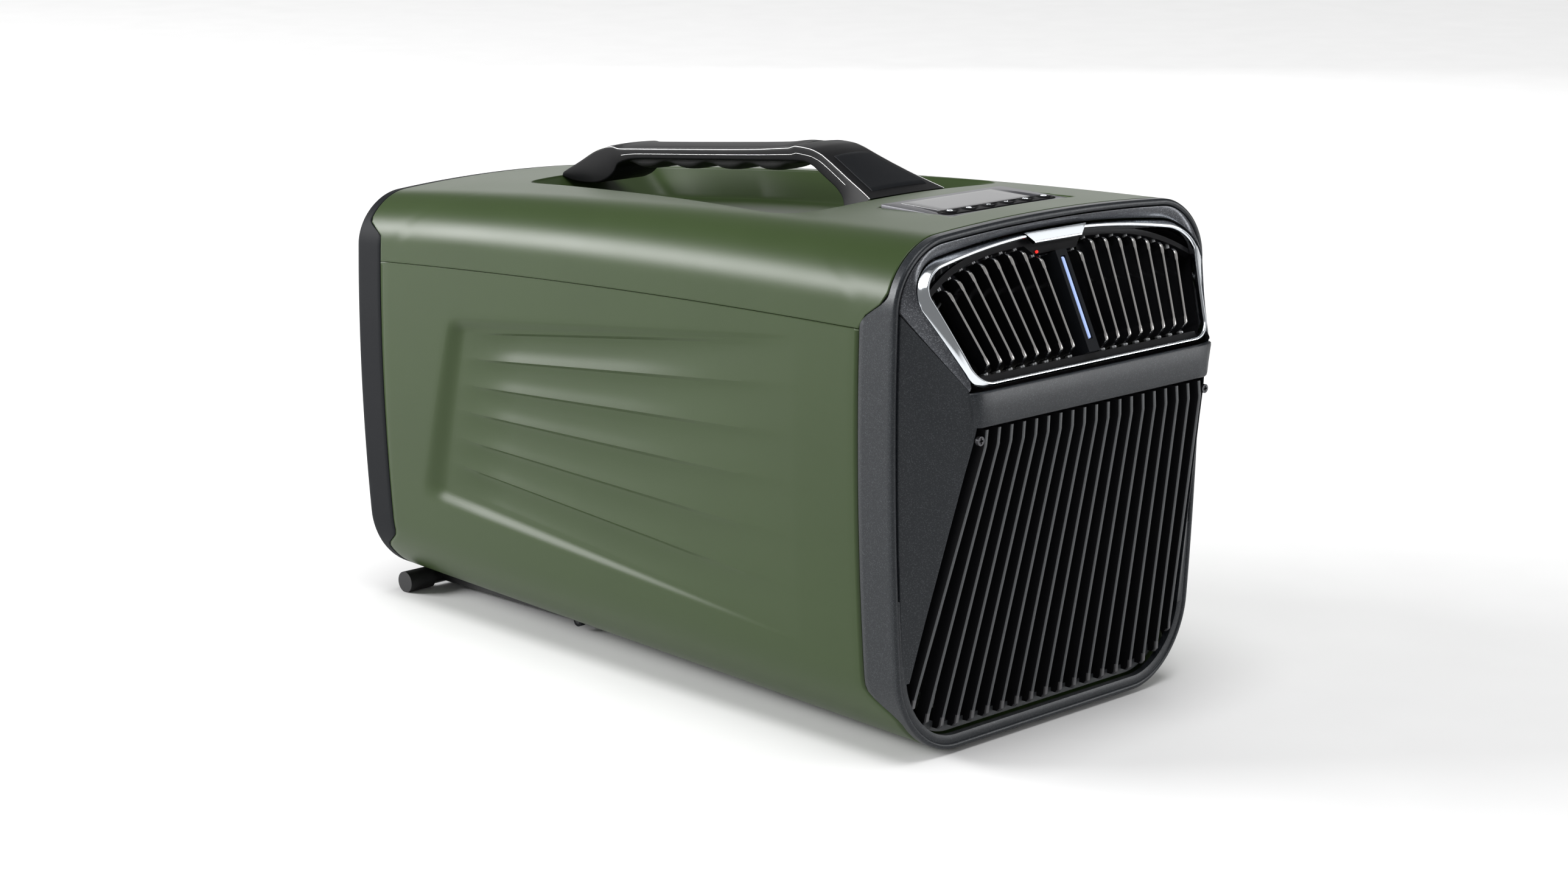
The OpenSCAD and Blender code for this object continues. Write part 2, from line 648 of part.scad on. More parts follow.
module divider() {
    color([0.85, 0.85, 0.82]) on_feet() difference() {
        translate([-108, 24, 176]) cube([216, 330, 8]);
        translate([60, 214, 170]) cylinder(h = 20, r = 8);
        translate([-60, 214, 170]) cylinder(h = 20, r = 8);
    }
}

module compressor() {
    color([0.12, 0.12, 0.13]) on_feet() translate([0, 205, 27]) {
        translate([0, 0, 3]) cylinder(h = 3, r = 54);
        rotate_extrude() polygon(concat([[0, 6]], arc([33, 14], 12, -41, 0, 6), arc([33, 98], 12, 0, 60, 6),
            [[0, 112]]));
        translate([0, 0, 108]) cylinder(h = 9, r = 11);
    }
}

module compressor_mounts() {
    color(jet) on_feet() translate([0, 205, 0]) for (a = [90, 210, 330])
        rotate(a) translate([47, 0, 18.6]) cylinder(h = 11.3, r = 6);
}

// Finned heat exchanger: fins across x on tubes that run along x
module coil(w, d, h, rows, fins) {
    for (i = [0:fins - 1]) translate([-w / 2 + i * (w - 1.2) / (fins - 1), 0, 0]) cube([1.2, d, h]);
    for (r = [0:rows - 1]) translate([-w / 2 - 3, d / 2, h * (r + 0.5) / rows]) rotate([0, 90, 0])
        cylinder(h = w + 6, r = 3.2, $fn = 24);
}

module condenser_coil() {
    color([0.75, 0.76, 0.78]) on_feet() translate([0, 86, 28]) coil(176, 24, 140, 6, 30);
}

module evaporator_coil() {
    color([0.75, 0.76, 0.78]) on_feet() translate([0, 62, 186]) coil(176, 22, 76, 4, 30);
}

fan_z = 98;
module fan_shroud() {
    color(jet) on_feet() {
        difference() {
            translate([-88, 40, 28]) cube([176, 24, 140]);
            translate([-85, 43, 31]) cube([170, 24, 134]);
            translate([0, 30, fan_z]) rotate([-90, 0, 0]) cylinder(h = 20, r = 64);
        }
        for (a = [0, 180, 270]) translate([0, 62, fan_z]) rotate([0, a, 0])
            translate([20.4, 0, -3]) cube([a == 270 ? 48 : 66, 4, 6]);
        mirrored() {
            translate([74, 22, 163]) rotate([0, 207, 0]) translate([-2.5, 0, 0]) cube([5, 4, 42]);
            translate([54, 22, 127]) rotate([0, 143, 0]) translate([-2.5, 0, 0]) cube([5, 4, 80]);
        }
        for (z = [113, 124]) translate([-57, 22.5, z]) cube([114, 3, 4]);
        mirrored() translate([44, 24, 112]) cube([6, 17.5, 15]);
    }
}

module fan_motors() {
    color([0.3, 0.3, 0.32]) on_feet() for (p = [[64, fan_z], [152, blower_z]]) {
        translate([0, p[0], p[1]]) rotate([-90, 0, 0]) cylinder(h = 20, r = 20.3);
        translate([0, p[0] - 14.5, p[1]]) rotate([-90, 0, 0]) cylinder(h = 16, r = 3);
    }
}

module condenser_fan() {
    color(charcoal) on_feet() translate([0, 47, fan_z]) rotate([-90, 0, 0]) difference() {
        union() {
            cylinder(h = 12, r = 21);
            for (a = [0:60:300]) rotate(a) translate([19, 0, 6]) rotate([32, 0, 0])
                translate([0, -12, -0.9]) cube([42, 24, 1.8]);
        }
        translate([0, 0, 2]) cylinder(h = 12, r = 3.06);
    }
}

blower_z = 222;
module blower_housing() {
    color(charcoal) on_feet() difference() {
        union() {
            translate([0, 104, blower_z]) rotate([-90, 0, 0]) cylinder(h = 48, r = 36.5);
            translate([-60, 104, 185]) cube([120, 48, 26]);
        }
        translate([0, 107, blower_z]) rotate([-90, 0, 0]) cylinder(h = 42, r = 34);
        translate([-57, 107, 188]) cube([114, 42, 20]);
        translate([0, 100, blower_z]) rotate([-90, 0, 0]) cylinder(h = 10, r = 24);
        translate([0, 140, blower_z]) rotate([-90, 0, 0]) cylinder(h = 20, r = 6);
        translate([-50, 100, 189]) cube([100, 10, 10]);
    }
}

module blower_wheel() {
    color([0.2, 0.2, 0.22]) on_feet() translate([0, 110, blower_z]) rotate([-90, 0, 0]) difference() {
        union() {
            translate([0, 0, 32]) cylinder(h = 3, r = 32);
            cylinder(h = 2.5, r = 32);
            for (i = [0:29]) rotate(i * 12) translate([27, -0.6, 1]) cube([4.6, 1.2, 33]);
            translate([0, 0, 24]) cylinder(h = 10, r = 8);
        }
        translate([0, 0, -1]) cylinder(h = 6, r = 25);
        translate([0, 0, 20]) cylinder(h = 20, r = 3.06);
    }
}

// Copper tube of radius r along a list of corner points that turn square
module tube_leg(p, q, r) {
    d = q - p;
    l = norm(d);
    translate(p) rotate([0, acos(d[2] / l), atan2(d[1], d[0])]) cylinder(h = l, r = r, $fn = 24);
}

module tube_run(points, r) {
    for (i = [0:len(points) - 2]) tube_leg(points[i], points[i + 1], r);
    for (i = [1:len(points) - 2]) translate(points[i]) sphere(r = r * 1.02, $fn = 24);
}

module refrigerant_pipes() {
    color(copper) on_feet() {
        tube_run([[30, 205, 137], [30, 205, 158], [94, 205, 158], [94, 98, 158], [92.5, 98, 158]], 3);
        tube_run([[-60, 214, 150], [-60, 214, 200], [-94, 214, 200], [-94, 73, 200], [-92.5, 73, 200]], 3);
        tube_run([[60, 214, 172], [60, 214, 254], [94, 214, 254], [94, 73, 254], [92.5, 73, 254]], 2);
        translate([-60, 214, 70]) cylinder(h = 80, r = 14);
    }
}

module control_board() {
    color([0.10, 0.30, 0.18]) on_feet() {
        translate([-70, 350, 60]) cube([140, 2, 115.8]);
        for (p = [[-50, 80, 22], [-10, 120, 30], [34, 84, 26]])
            translate([p[0], 340, p[1]]) cube([p[2], 11, 18]);
        for (x = [-40, 10, 44]) translate([x, 338, 150]) rotate([-90, 0, 0]) cylinder(h = 13, r = 7);
    }
}

// ---------- Nodes ----------

top_shell();
lower_shell();
front_ring();
rear_ring();
nose_frame();
outlet_frame();
chrome_trim();
outlet_duct();
centre_post();
light_strip();
lower_grille();
rear_grille();
intake_filter();
power_inlet();
handle_frame();
handle_grip();
screws();
display_lens();
button_bezel();
front_feet();
stand_brackets();
prop_stand();
stand_feet();
base_pan();
divider();
compressor();
compressor_mounts();
condenser_coil();
fan_shroud();
fan_motors();
condenser_fan();
evaporator_coil();
blower_housing();
blower_wheel();
refrigerant_pipes();
control_board();
for (k = [1:vane_count]) {
    vane(-1, k);
    vane(1, k);
}
link_rod(-1);  // left_link_rod
link_rod(1);  // right_link_rod
for (k = [1:6]) {
    button(k);
}
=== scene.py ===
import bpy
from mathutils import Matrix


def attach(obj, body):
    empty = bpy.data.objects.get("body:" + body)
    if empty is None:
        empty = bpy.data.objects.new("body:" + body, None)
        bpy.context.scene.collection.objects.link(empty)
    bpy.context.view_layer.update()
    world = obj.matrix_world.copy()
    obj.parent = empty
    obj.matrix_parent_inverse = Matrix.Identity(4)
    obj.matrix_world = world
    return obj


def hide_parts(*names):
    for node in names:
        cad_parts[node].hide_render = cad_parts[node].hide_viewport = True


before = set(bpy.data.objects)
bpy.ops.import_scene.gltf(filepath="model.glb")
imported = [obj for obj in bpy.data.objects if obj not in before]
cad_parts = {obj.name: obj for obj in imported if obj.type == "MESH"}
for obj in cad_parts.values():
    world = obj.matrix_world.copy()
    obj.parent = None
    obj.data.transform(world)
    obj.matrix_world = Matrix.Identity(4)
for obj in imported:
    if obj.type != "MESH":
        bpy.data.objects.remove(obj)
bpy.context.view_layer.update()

import math
import bmesh
import bpy
import numpy as np
from mathutils import Matrix, Vector

# ---------------------------------------------------------------------------
# Frame of the casing: millimetres, y = 0 at the front ring's edge, z = 0 at the
# casing's underside there. row() takes a point to the part's own frame in metres.
# ---------------------------------------------------------------------------
W, H, L, NOSE = 264.0, 293.0, 488.0, 32.0
R_TOP, R_LOW, SEAM = 37.0, 48.0, 244.0
W_TAPER, H_TAPER, RISE, ARCH, CROWN, BULGE, BULGE_Z = 0.15, 0.10, 12.0, 6.0, 7.0, 6.3, 0.67
MID_Y, LIFT = (L - NOSE) / 2, 2.5
BAR_TOP, BAR_LOW = 209.6, 189.5      # the nose's bar
LEAN = math.radians(26)              # lean of the outlet's plane
OUTLET_Y, OUTLET_Z = -NOSE + 1.7, 215.5
PANEL_Y, PANEL_Z, TILT = 32, 288.4, math.radians(1.5)
KEY_PITCH, KEY_Y, ICON_Z = 15.8, 13, 3.42
GAP, WALL = 0.25, 1.8                # half a seam's width, and the covers' thickness
SLATS = 19


def row(p):
    p = np.asarray(p, float)
    return np.stack([p[..., 0], p[..., 1] - MID_Y, p[..., 2] + LIFT], -1) / 1000


def ease(a, b, v):
    t = np.clip((np.asarray(v, float) - a) / (b - a), 0, 1)
    return t * t * (3 - 2 * t)


def crowned(x, z):
    """Bows the sides out and the top down, in the front section."""
    u = (z - H * BULGE_Z) / (H / 2)
    x = x * (1 - BULGE / (W / 2) * u * u)
    t = np.clip(z / H, 0, 1)
    return x, z - CROWN * (x / (W / 2)) ** 2 * t ** 4


def place(x, z, y):
    """A point of the front section carried back to y, with the casing's taper and arch."""
    t, s = y / L, z / H
    zz = z * (1 - H_TAPER * t) + RISE * t * (1 - s) + ARCH * s * s * (1 - (2 * t - 1) ** 2)
    return np.stack(np.broadcast_arrays(x * (1 - W_TAPER * t), y, zz), -1)


A_TOP, A_LOW = W / 2 - R_TOP, W / 2 - R_LOW
ARC_TOP, ARC_LOW = R_TOP * math.pi / 2, R_LOW * math.pi / 2
TOP_LEN = A_TOP + ARC_TOP + H - R_TOP - SEAM
LOW_LEN = A_LOW + ARC_LOW + SEAM - R_LOW


def raw_top(s, inset=0.0):
    """Front section over the top, s millimetres of outline from the top's middle, right positive."""
    a = np.abs(s)
    g = np.sign(s)
    ang = np.clip((a - A_TOP) / R_TOP, 0, math.pi / 2)
    down = np.maximum(a - A_TOP - ARC_TOP, 0)
    x = np.where(a <= A_TOP, s, g * (A_TOP + (R_TOP - inset) * np.sin(ang)))
    z = np.where(a <= A_TOP, H - inset, H - R_TOP + (R_TOP - inset) * np.cos(ang) - down)
    return x, z


def raw_low(s, inset=0.0):
    """Front section under the base, s millimetres of outline from the base's middle."""
    a = np.abs(s)
    g = np.sign(s)
    ang = np.clip((a - A_LOW) / R_LOW, 0, math.pi / 2)
    up = np.maximum(a - A_LOW - ARC_LOW, 0)
    x = np.where(a <= A_LOW, s, g * (A_LOW + (R_LOW - inset) * np.sin(ang)))
    z = np.where(a <= A_LOW, inset, R_LOW - (R_LOW - inset) * np.cos(ang) + up)
    return x, z


def skin_top(s, y, inset=0.0):
    x, z = crowned(*raw_top(np.asarray(s, float), inset))
    return place(x, z, np.asarray(y, float))


def skin_low(s, y, inset=0.0):
    x, z = crowned(*raw_low(np.asarray(s, float), inset))
    return place(x, z, np.asarray(y, float))


def front_seam(z):
    return 7 + 20 * ease(20, 40, z) * (1 - ease(246, 266, z))


def rear_seam(z):
    return L - 10 - 16 * ease(20, 38, z) * (1 - ease(262, 276, z))


def top_z(x, y):
    """Height of the top surface over x, y."""
    x0 = x / (1 - W_TAPER * y / L)
    over = np.maximum(0, np.abs(x0) * 1.02 - A_TOP)
    z = H - R_TOP + np.sqrt(np.maximum(0, R_TOP ** 2 - over ** 2))
    return place(x0, z - CROWN * (x0 / (W / 2)) ** 2 * (z / H) ** 4, y)[..., 2]


def on_panel(x, y, z):
    """Point x across, y back and z up from the control panel's front edge."""
    x, y, z = np.broadcast_arrays(np.asarray(x, float), y, z)
    return np.stack([x, PANEL_Y + y * math.cos(TILT) - z * math.sin(TILT),
                     PANEL_Z + y * math.sin(TILT) + z * math.cos(TILT)], -1)


# ---------------------------------------------------------------------------
# Mesh helpers
# ---------------------------------------------------------------------------
def make(name, verts, faces, angle=35, body="casing", slot=None, mats=()):
    """A mesh piece from row-frame vertices; edges sharper than angle stay crisp."""
    me = bpy.data.meshes.new(name)
    me.from_pydata([tuple(v) for v in verts], [], [tuple(f) for f in faces])
    me.validate()
    bm = bmesh.new()
    bm.from_mesh(me)
    bmesh.ops.remove_doubles(bm, verts=bm.verts, dist=1e-6)
    bmesh.ops.recalc_face_normals(bm, faces=bm.faces)
    bm.to_mesh(me)
    bm.free()
    me.polygons.foreach_set("use_smooth", [True] * len(me.polygons))
    me.set_sharp_from_angle(angle=math.radians(angle))
    ob = bpy.data.objects.new(name, me)
    bpy.context.scene.collection.objects.link(ob)
    for m in mats:
        me.materials.append(m)
    if body:
        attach(ob, body)
    return ob


def grid_faces(m, n, close_n=False, close_m=False):
    """Quads between m rows of n points, indexed row by row."""
    out = []
    for i in range(m if close_m else m - 1):
        for j in range(n if close_n else n - 1):
            a, b = i, (i + 1) % m
            c, d = j, (j + 1) % n
            out.append((a * n + c, b * n + c, b * n + d, a * n + d))
    return out


def grid(name, P, close_n=False, close_m=False, cap=False, **kw):
    """A loft of m rows of n points, in the casing frame."""
    m, n = P.shape[:2]
    faces = grid_faces(m, n, close_n, close_m)
    if cap:
        faces += [tuple(range(n)), tuple(range((m - 1) * n, m * n))[::-1]]
    return make(name, row(P).reshape(-1, 3), faces, **kw)


def solid(ob, t):
    """Gives an open skin a wall of t millimetres, inwards."""
    mod = ob.modifiers.new("wall", "SOLIDIFY")
    mod.thickness = t / 1000
    mod.offset = -1
    mod.use_even_offset = True
    mod.use_quality_normals = True
    apply(ob)


def apply(ob):
    """Replaces a piece's mesh by the result of its modifiers."""
    dg = bpy.context.evaluated_depsgraph_get()
    me = bpy.data.meshes.new_from_object(ob.evaluated_get(dg))
    ob.modifiers.clear()
    ob.data = me


def join(name, parts, **kw):
    """One piece from several [vertices, faces] lists in the row frame."""
    verts, faces = [], []
    for v, f in parts:
        k = len(verts)
        verts += [tuple(p) for p in v]
        faces += [tuple(i + k for i in q) for q in f]
    return make(name, verts, faces, **kw)


def loft(rows):
    """Vertices and faces of a closed, capped loft of rows in the casing frame, for join()."""
    P = np.asarray(rows, float)
    m, n = P.shape[:2]
    f = grid_faces(m, n, close_n=True) + [tuple(range(n)), tuple(range((m - 1) * n, m * n))[::-1]]
    return row(P).reshape(-1, 3), f


def carve(ob, parts):
    """Cuts closed shapes, given as for join(), out of a piece."""
    tool = join("carving_tool", parts, body=None)
    mod = ob.modifiers.new("carve", "BOOLEAN")
    mod.operation = "DIFFERENCE"
    mod.solver = "EXACT"
    mod.object = tool
    apply(ob)
    bpy.data.objects.remove(tool)


def tube(path, r, n=10):
    """Closed tube of radius r (a number or one per point) along a path, casing frame."""
    P = np.asarray(path, float)
    T = np.gradient(P, axis=0)
    T /= np.linalg.norm(T, axis=1)[:, None]
    ref = np.array([1.0, 0, 0]) if abs(T[0, 0]) < 0.8 else np.array([0, 0, 1.0])
    rr = np.broadcast_to(np.asarray(r, float), (len(P),))
    rows = []
    for p, t, q in zip(P, T, rr):
        ref = ref - t * ref.dot(t)
        ref /= np.linalg.norm(ref)
        b = np.cross(t, ref)
        rows.append([p + q * (math.cos(a) * ref + math.sin(a) * b)
                     for a in np.linspace(0, 2 * math.pi, n, endpoint=False)])
    return loft(rows)


def resample(pts, n, closed=False, smooth=0):
    """Points spaced evenly along a polyline, after corner cutting."""
    P = np.asarray(pts, float)
    for _ in range(smooth):
        Q = np.roll(P, -1, 0) if closed else P[1:]
        A = P if closed else P[:-1]
        new = np.stack([0.75 * A + 0.25 * Q, 0.25 * A + 0.75 * Q], 1).reshape(-1, P.shape[1])
        P = new if closed else np.vstack([P[:1], new, P[-1:]])
    if closed:
        P = np.vstack([P, P[:1]])
    d = np.r_[0, np.cumsum(np.linalg.norm(np.diff(P, axis=0), axis=1))]
    t = np.linspace(0, d[-1], n, endpoint=not closed)
    return np.stack([np.interp(t, d, P[:, k]) for k in range(P.shape[1])], 1)


# ---------------------------------------------------------------------------
# Materials
# ---------------------------------------------------------------------------
def material(name, color, rough=0.5, metallic=0.0, grain=(0.0, 0.0), flake=0.0, vary=0.06,
             coat=0.0, coat_rough=0.1, emission=None, spec=0.5, rough_vary=0.08):
    """A procedural finish: colour drift, roughness drift, moulded grain as bump, and metal flakes."""
    m = bpy.data.materials.new(name)
    m.use_nodes = True
    nt = m.node_tree
    bs = nt.nodes["Principled BSDF"]
    link = nt.links.new
    bs.inputs["Metallic"].default_value = metallic
    bs.inputs["Specular IOR Level"].default_value = spec
    bs.inputs["Coat Weight"].default_value = coat
    bs.inputs["Coat Roughness"].default_value = coat_rough
    co = nt.nodes.new("ShaderNodeTexCoord")
    drift = nt.nodes.new("ShaderNodeTexNoise")
    drift.inputs["Scale"].default_value = 14
    drift.inputs["Detail"].default_value = 5
    link(co.outputs["Object"], drift.inputs["Vector"])
    ramp = nt.nodes.new("ShaderNodeValToRGB")
    c = np.array(color, float)
    ramp.color_ramp.elements[0].position = 0.25
    ramp.color_ramp.elements[1].position = 0.75
    ramp.color_ramp.elements[0].color = (*(c * (1 - vary)), 1)
    ramp.color_ramp.elements[1].color = (*np.minimum(c * (1 + vary), 1), 1)
    link(drift.outputs["Fac"], ramp.inputs["Fac"])
    colour = ramp.outputs["Color"]
    if flake:
        cells = nt.nodes.new("ShaderNodeTexVoronoi")
        cells.inputs["Scale"].default_value = 2600
        link(co.outputs["Object"], cells.inputs["Vector"])
        bright = nt.nodes.new("ShaderNodeMapRange")
        bright.inputs["From Min"].default_value = 0.72
        bright.inputs["From Max"].default_value = 1.0
        bright.inputs["To Max"].default_value = flake
        sep = nt.nodes.new("ShaderNodeSeparateColor")
        link(cells.outputs["Color"], sep.inputs["Color"])
        link(sep.outputs["Red"], bright.inputs["Value"])
        mix = nt.nodes.new("ShaderNodeMix")
        mix.data_type = "RGBA"
        link(bright.outputs["Result"], mix.inputs["Factor"])
        link(colour, mix.inputs["A"])
        mix.inputs["B"].default_value = (0.55, 0.58, 0.62, 1)
        colour = mix.outputs["Result"]
    link(colour, bs.inputs["Base Color"])
    rr = nt.nodes.new("ShaderNodeMapRange")
    rr.inputs["To Min"].default_value = max(0.02, rough - rough_vary)
    rr.inputs["To Max"].default_value = min(1.0, rough + rough_vary)
    link(drift.outputs["Fac"], rr.inputs["Value"])
    link(rr.outputs["Result"], bs.inputs["Roughness"])
    if grain[1]:
        fine = nt.nodes.new("ShaderNodeTexNoise")
        fine.inputs["Scale"].default_value = grain[0]
        fine.inputs["Detail"].default_value = 3
        link(co.outputs["Object"], fine.inputs["Vector"])
        bump = nt.nodes.new("ShaderNodeBump")
        bump.inputs["Strength"].default_value = grain[1]
        bump.inputs["Distance"].default_value = 0.0002
        link(fine.outputs["Fac"], bump.inputs["Height"])
        link(bump.outputs["Normal"], bs.inputs["Normal"])
    if emission:
        bs.inputs["Emission Color"].default_value = (*emission[:3], 1)
        bs.inputs["Emission Strength"].default_value = emission[3]
    return m


GREEN = material("olive_paint", (0.031, 0.052, 0.0155), 0.37, grain=(1400, 0.10), vary=0.035, spec=0.25,
                 rough_vary=0.03)
GUN = material("gunmetal_sparkle", (0.011, 0.0135, 0.017), 0.38, metallic=0.2, grain=(2600, 0.35), flake=0.05,
               spec=0.36)
CHAR = material("charcoal_plastic", (0.006, 0.007, 0.009), 0.6, grain=(2200, 0.3), spec=0.12)
BLACK = material("black_plastic", (0.005, 0.005, 0.006), 0.5, grain=(1800, 0.2), spec=0.12)
GLOSSB = material("gloss_black", (0.003, 0.003, 0.004), 0.6, spec=0.08, rough_vary=0.04)
BAND = material("band_metallic", (0.055, 0.058, 0.066), 0.34, metallic=0.55, grain=(2600, 0.2), flake=0.25)
CHROME = material("bright_chrome", (0.80, 0.84, 0.88), 0.10, metallic=1.0, vary=0.02, rough_vary=0.04,
                  grain=(900, 0.02))
VANE = material("vane_gloss", (0.005, 0.005, 0.006), 0.16, coat=0.5, grain=(1500, 0.05))
BEAD = material("vane_edge", (0.38, 0.37, 0.36), 0.26, metallic=0.6, grain=(2000, 0.1))
# The grey of one plastic, given only to the slats' front faces; their sides take black_plastic as painted
# shade.
SLAT = material("slat_grey", (0.040, 0.044, 0.048), 0.42, grain=(2200, 0.25), flake=0.04)
TIP = material("slat_tip", (0.10, 0.10, 0.105), 0.30, metallic=0.4, grain=(2200, 0.2))
GLOW = material("light_bar", (0.3, 0.38, 0.6), 0.3, emission=(0.38, 0.52, 1.0, 0.5))
GRIP = material("grip_rubber", (0.010, 0.010, 0.011), 0.62, grain=(1200, 0.45))
HANDLE = material("handle_black", (0.005, 0.005, 0.006), 0.50, spec=0.14, grain=(1600, 0.18))
# Bright metal for thin tubes laid along the handle's rounded edge and side step: painted highlights of those
# edges.
HANDLE_EDGE_GLINT = material("edge_glint", (0.42, 0.42, 0.42), 0.34, metallic=0.85)
GLASS = material("display_glass", (0.17, 0.17, 0.175), 0.34, metallic=0.3, rough_vary=0.04)
PANEL = material("display_panel", (0.085, 0.085, 0.095), 0.40, metallic=0.4, rough_vary=0.03)
ICON = material("icon_white", (0.78, 0.80, 0.82), 0.5, emission=(0.8, 0.85, 0.9, 0.25))
STEEL = material("plain_steel", (0.46, 0.47, 0.48), 0.28, metallic=0.9, grain=(900, 0.1))
DARK_STEEL = material("dark_steel", (0.06, 0.06, 0.065), 0.35, metallic=0.8, grain=(900, 0.1))
RED = material("status_red", (0.7, 0.01, 0.01), 0.3, emission=(1.0, 0.03, 0.02, 1.2))

# ---------------------------------------------------------------------------
# Top cover: rings from the seams in to the hand recess's rim, then down its walls
# and across its floor
# ---------------------------------------------------------------------------
rim_half = [(0, 396), (20, 396), (38, 395), (46, 392.5), (50.5, 387), (52.5, 378), (56, 350), (61, 318),
            (66.5, 280), (72, 240), (80, 190), (86, 155), (88.5, 138), (87.5, 128), (83, 119.5), (75, 114),
            (62, 111.5), (40, 111), (18, 111), (0, 111)]
rim = resample(rim_half + [(-x, y) for x, y in rim_half[-2:0:-1]], 264, closed=True, smooth=3)


def s_of(x, y):
    """Outline position s of a point of the top surface at x, y."""
    x0 = x / (1 - W_TAPER * y / L)
    z = np.full_like(x0, H)
    for _ in range(12):
        u = (z - H * BULGE_Z) / (H / 2)
        xr = x0 / (1 - BULGE / (W / 2) * u * u)
        over = np.clip((np.abs(xr) - A_TOP) / R_TOP, 0, 0.999)
        z = H - R_TOP + R_TOP * np.sqrt(1 - over ** 2)
    return np.where(np.abs(xr) <= A_TOP, xr, np.sign(xr) * (A_TOP + R_TOP * np.arcsin(over)))


def top_ends(s):
    z = raw_top(s)[1]
    return front_seam(z) + GAP, rear_seam(z) - GAP


rim_s = s_of(rim[:, 0], rim[:, 1])
e0, e1 = top_ends(rim_s)
rim_v = (rim[:, 1] - e0) / (e1 - e0)
dx, dv = rim_s / TOP_LEN, (rim_v - 0.5) * 2
k = 1 / np.maximum(np.abs(dx), np.abs(dv))
box_s, box_v = dx * k, dv * k
for corner_s, corner_v in ((-1, -1), (1, -1), (1, 1), (-1, 1)):
    near = int(np.argmin((box_s - corner_s) ** 2 + (box_v - corner_v) ** 2))
    box_s[near], box_v[near] = corner_s, corner_v
box_s, box_v = box_s * TOP_LEN, 0.5 + box_v / 2
rings = []
for w in list(1 - np.linspace(0, 1, 46) ** 1.15)[:-1]:
    s = rim_s + (box_s - rim_s) * w
    v = rim_v + (box_v - rim_v) * w
    a, b = top_ends(s)
    inset = 0.4 if w == 1 else 0.0
    rings.append(skin_top(s, a + (b - a) * v, inset))
edge = 0.5 / TOP_LEN
s = box_s * (1 - edge)
a, b = top_ends(s)
rings.insert(1, skin_top(s, np.clip(a + (b - a) * box_v, a + 0.5, b - 0.5)))
normal = np.roll(rim, -1, 0) - np.roll(rim, 1, 0)
normal = np.stack([-normal[:, 1], normal[:, 0]], 1) / np.linalg.norm(normal, axis=1)[:, None]


def rim_ring(g, drop):
    """The rim moved out by g and down by drop."""
    q = rim + normal * g
    return np.column_stack([q, top_z(q[:, 0], q[:, 1]) - drop])


rings += [rim_ring(1.0, 0.0), rim_ring(0.5, 0.08), rim_ring(0.15, 0.32), rim_ring(0.0, 0.75)]
floor_xy = np.column_stack([np.sign(rim[:, 0]) * np.minimum(54, 0.85 * np.abs(rim[:, 0])),
                            131 + (rim[:, 1] - 111) * 0.825])
rim_z = top_z(rim[:, 0], rim[:, 1])
floor_z = top_z(0 * rim[:, 1], floor_xy[:, 1]) - 20
for t in np.linspace(0.04, 1, 14):
    h = max(0.0, 1 - t / 0.92) if t < 0.8 else 0.1304 * ((1 - t) / 0.2) ** 2
    q = rim + (floor_xy - rim) * t
    rings.append(np.column_stack([q, floor_z + (rim_z - 0.75 - floor_z) * h]))
for t in np.linspace(0.08, 0.999, 10):
    q = floor_xy * (1 - t) + np.column_stack([0 * rim[:, 0], np.clip(floor_xy[:, 1], 180, 320)]) * t
    rings.append(np.column_stack([q, top_z(0 * q[:, 1], q[:, 1]) - 20]))
top_cover = grid("top_cover", np.array(rings), close_n=True, angle=50, slot="olive_casing", mats=[GREEN])
solid(top_cover, WALL)
pocket = [[on_panel(x, y, z) for x, y in ((-51, 0), (51, 0), (51, 56), (-51, 56))] for z in (-6, 12)]
carve(top_cover, [loft(pocket)])
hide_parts("top_shell")

# ---------------------------------------------------------------------------
# Lower cover, with the fanned scallops pressed into each side
# ---------------------------------------------------------------------------
CREASES = [((375, 171.7), (81, 202.7)), ((379.5, 154), (72, 174.6)), ((382, 136.5), (72, 145.4)),
           ((388, 118), (69, 114)), ((395.7, 100.7), (74.7, 83.8))]
TOP_OUT, TOP_IN = ((392, 197), (78, 232.7)), ((378, 188), (78, 229))
LOW_OUT, LOW_IN = ((428, 71.6), (78, 54)), ((404, 84), (78, 57))


def line(pq, y):
    """Height at y of the straight line through two (y, z) points."""
    (y0, z0), (y1, z1) = pq
    return z0 + (z1 - z0) * (y - y0) / (y1 - y0)


def section_z(z, y):
    """Height in the front section of a point at height z over y."""
    t = y / L
    q = z
    for _ in range(6):
        q = (z - RISE * t * (1 - q / H) - ARCH * (q / H) ** 2 * (1 - (2 * t - 1) ** 2)) / (1 - H_TAPER * t)
    return q


def rear_out(z):
    """Rear end of the pressed field over height, at its outer edge; rear_in gives the floor's."""
    return 392 + (197 - np.clip(z, 71.6, 197)) * 36.0 / 125.4


def rear_in(z):
    return 378 + (188 - np.clip(z, 84, 188)) * 26.0 / 104.0


row_plan = [("edge", 3.0), ("edge", 0.4), ("edge0", 0.0)]
row_plan += [("plain", t) for t in np.linspace(0, 1, 9)[1:-1]]
row_plan += [("top", t) for t in np.linspace(0, 1, 8)]
lines = [TOP_IN] + CREASES + [LOW_IN]
for b in range(6):
    row_plan += [("band", b, t) for t in np.linspace(0, 1, 13)[1:]]
row_plan += [("low", t) for t in np.linspace(0, 1, 9)[1:]]
row_plan += [("under", t) for t in np.linspace(0, 1, 8)[1:]]
row_plan += [("arc", t) for t in np.linspace(0, 1, 17)[1:]]
row_plan += [("flat", t) for t in np.linspace(0, 1, 10)[1:]]
NY = 118
U = np.linspace(0, 1, NY)
knots = [0, 0.004, 0.06, 0.26, 0.74, 0.82, 0.90, 0.996, 1]


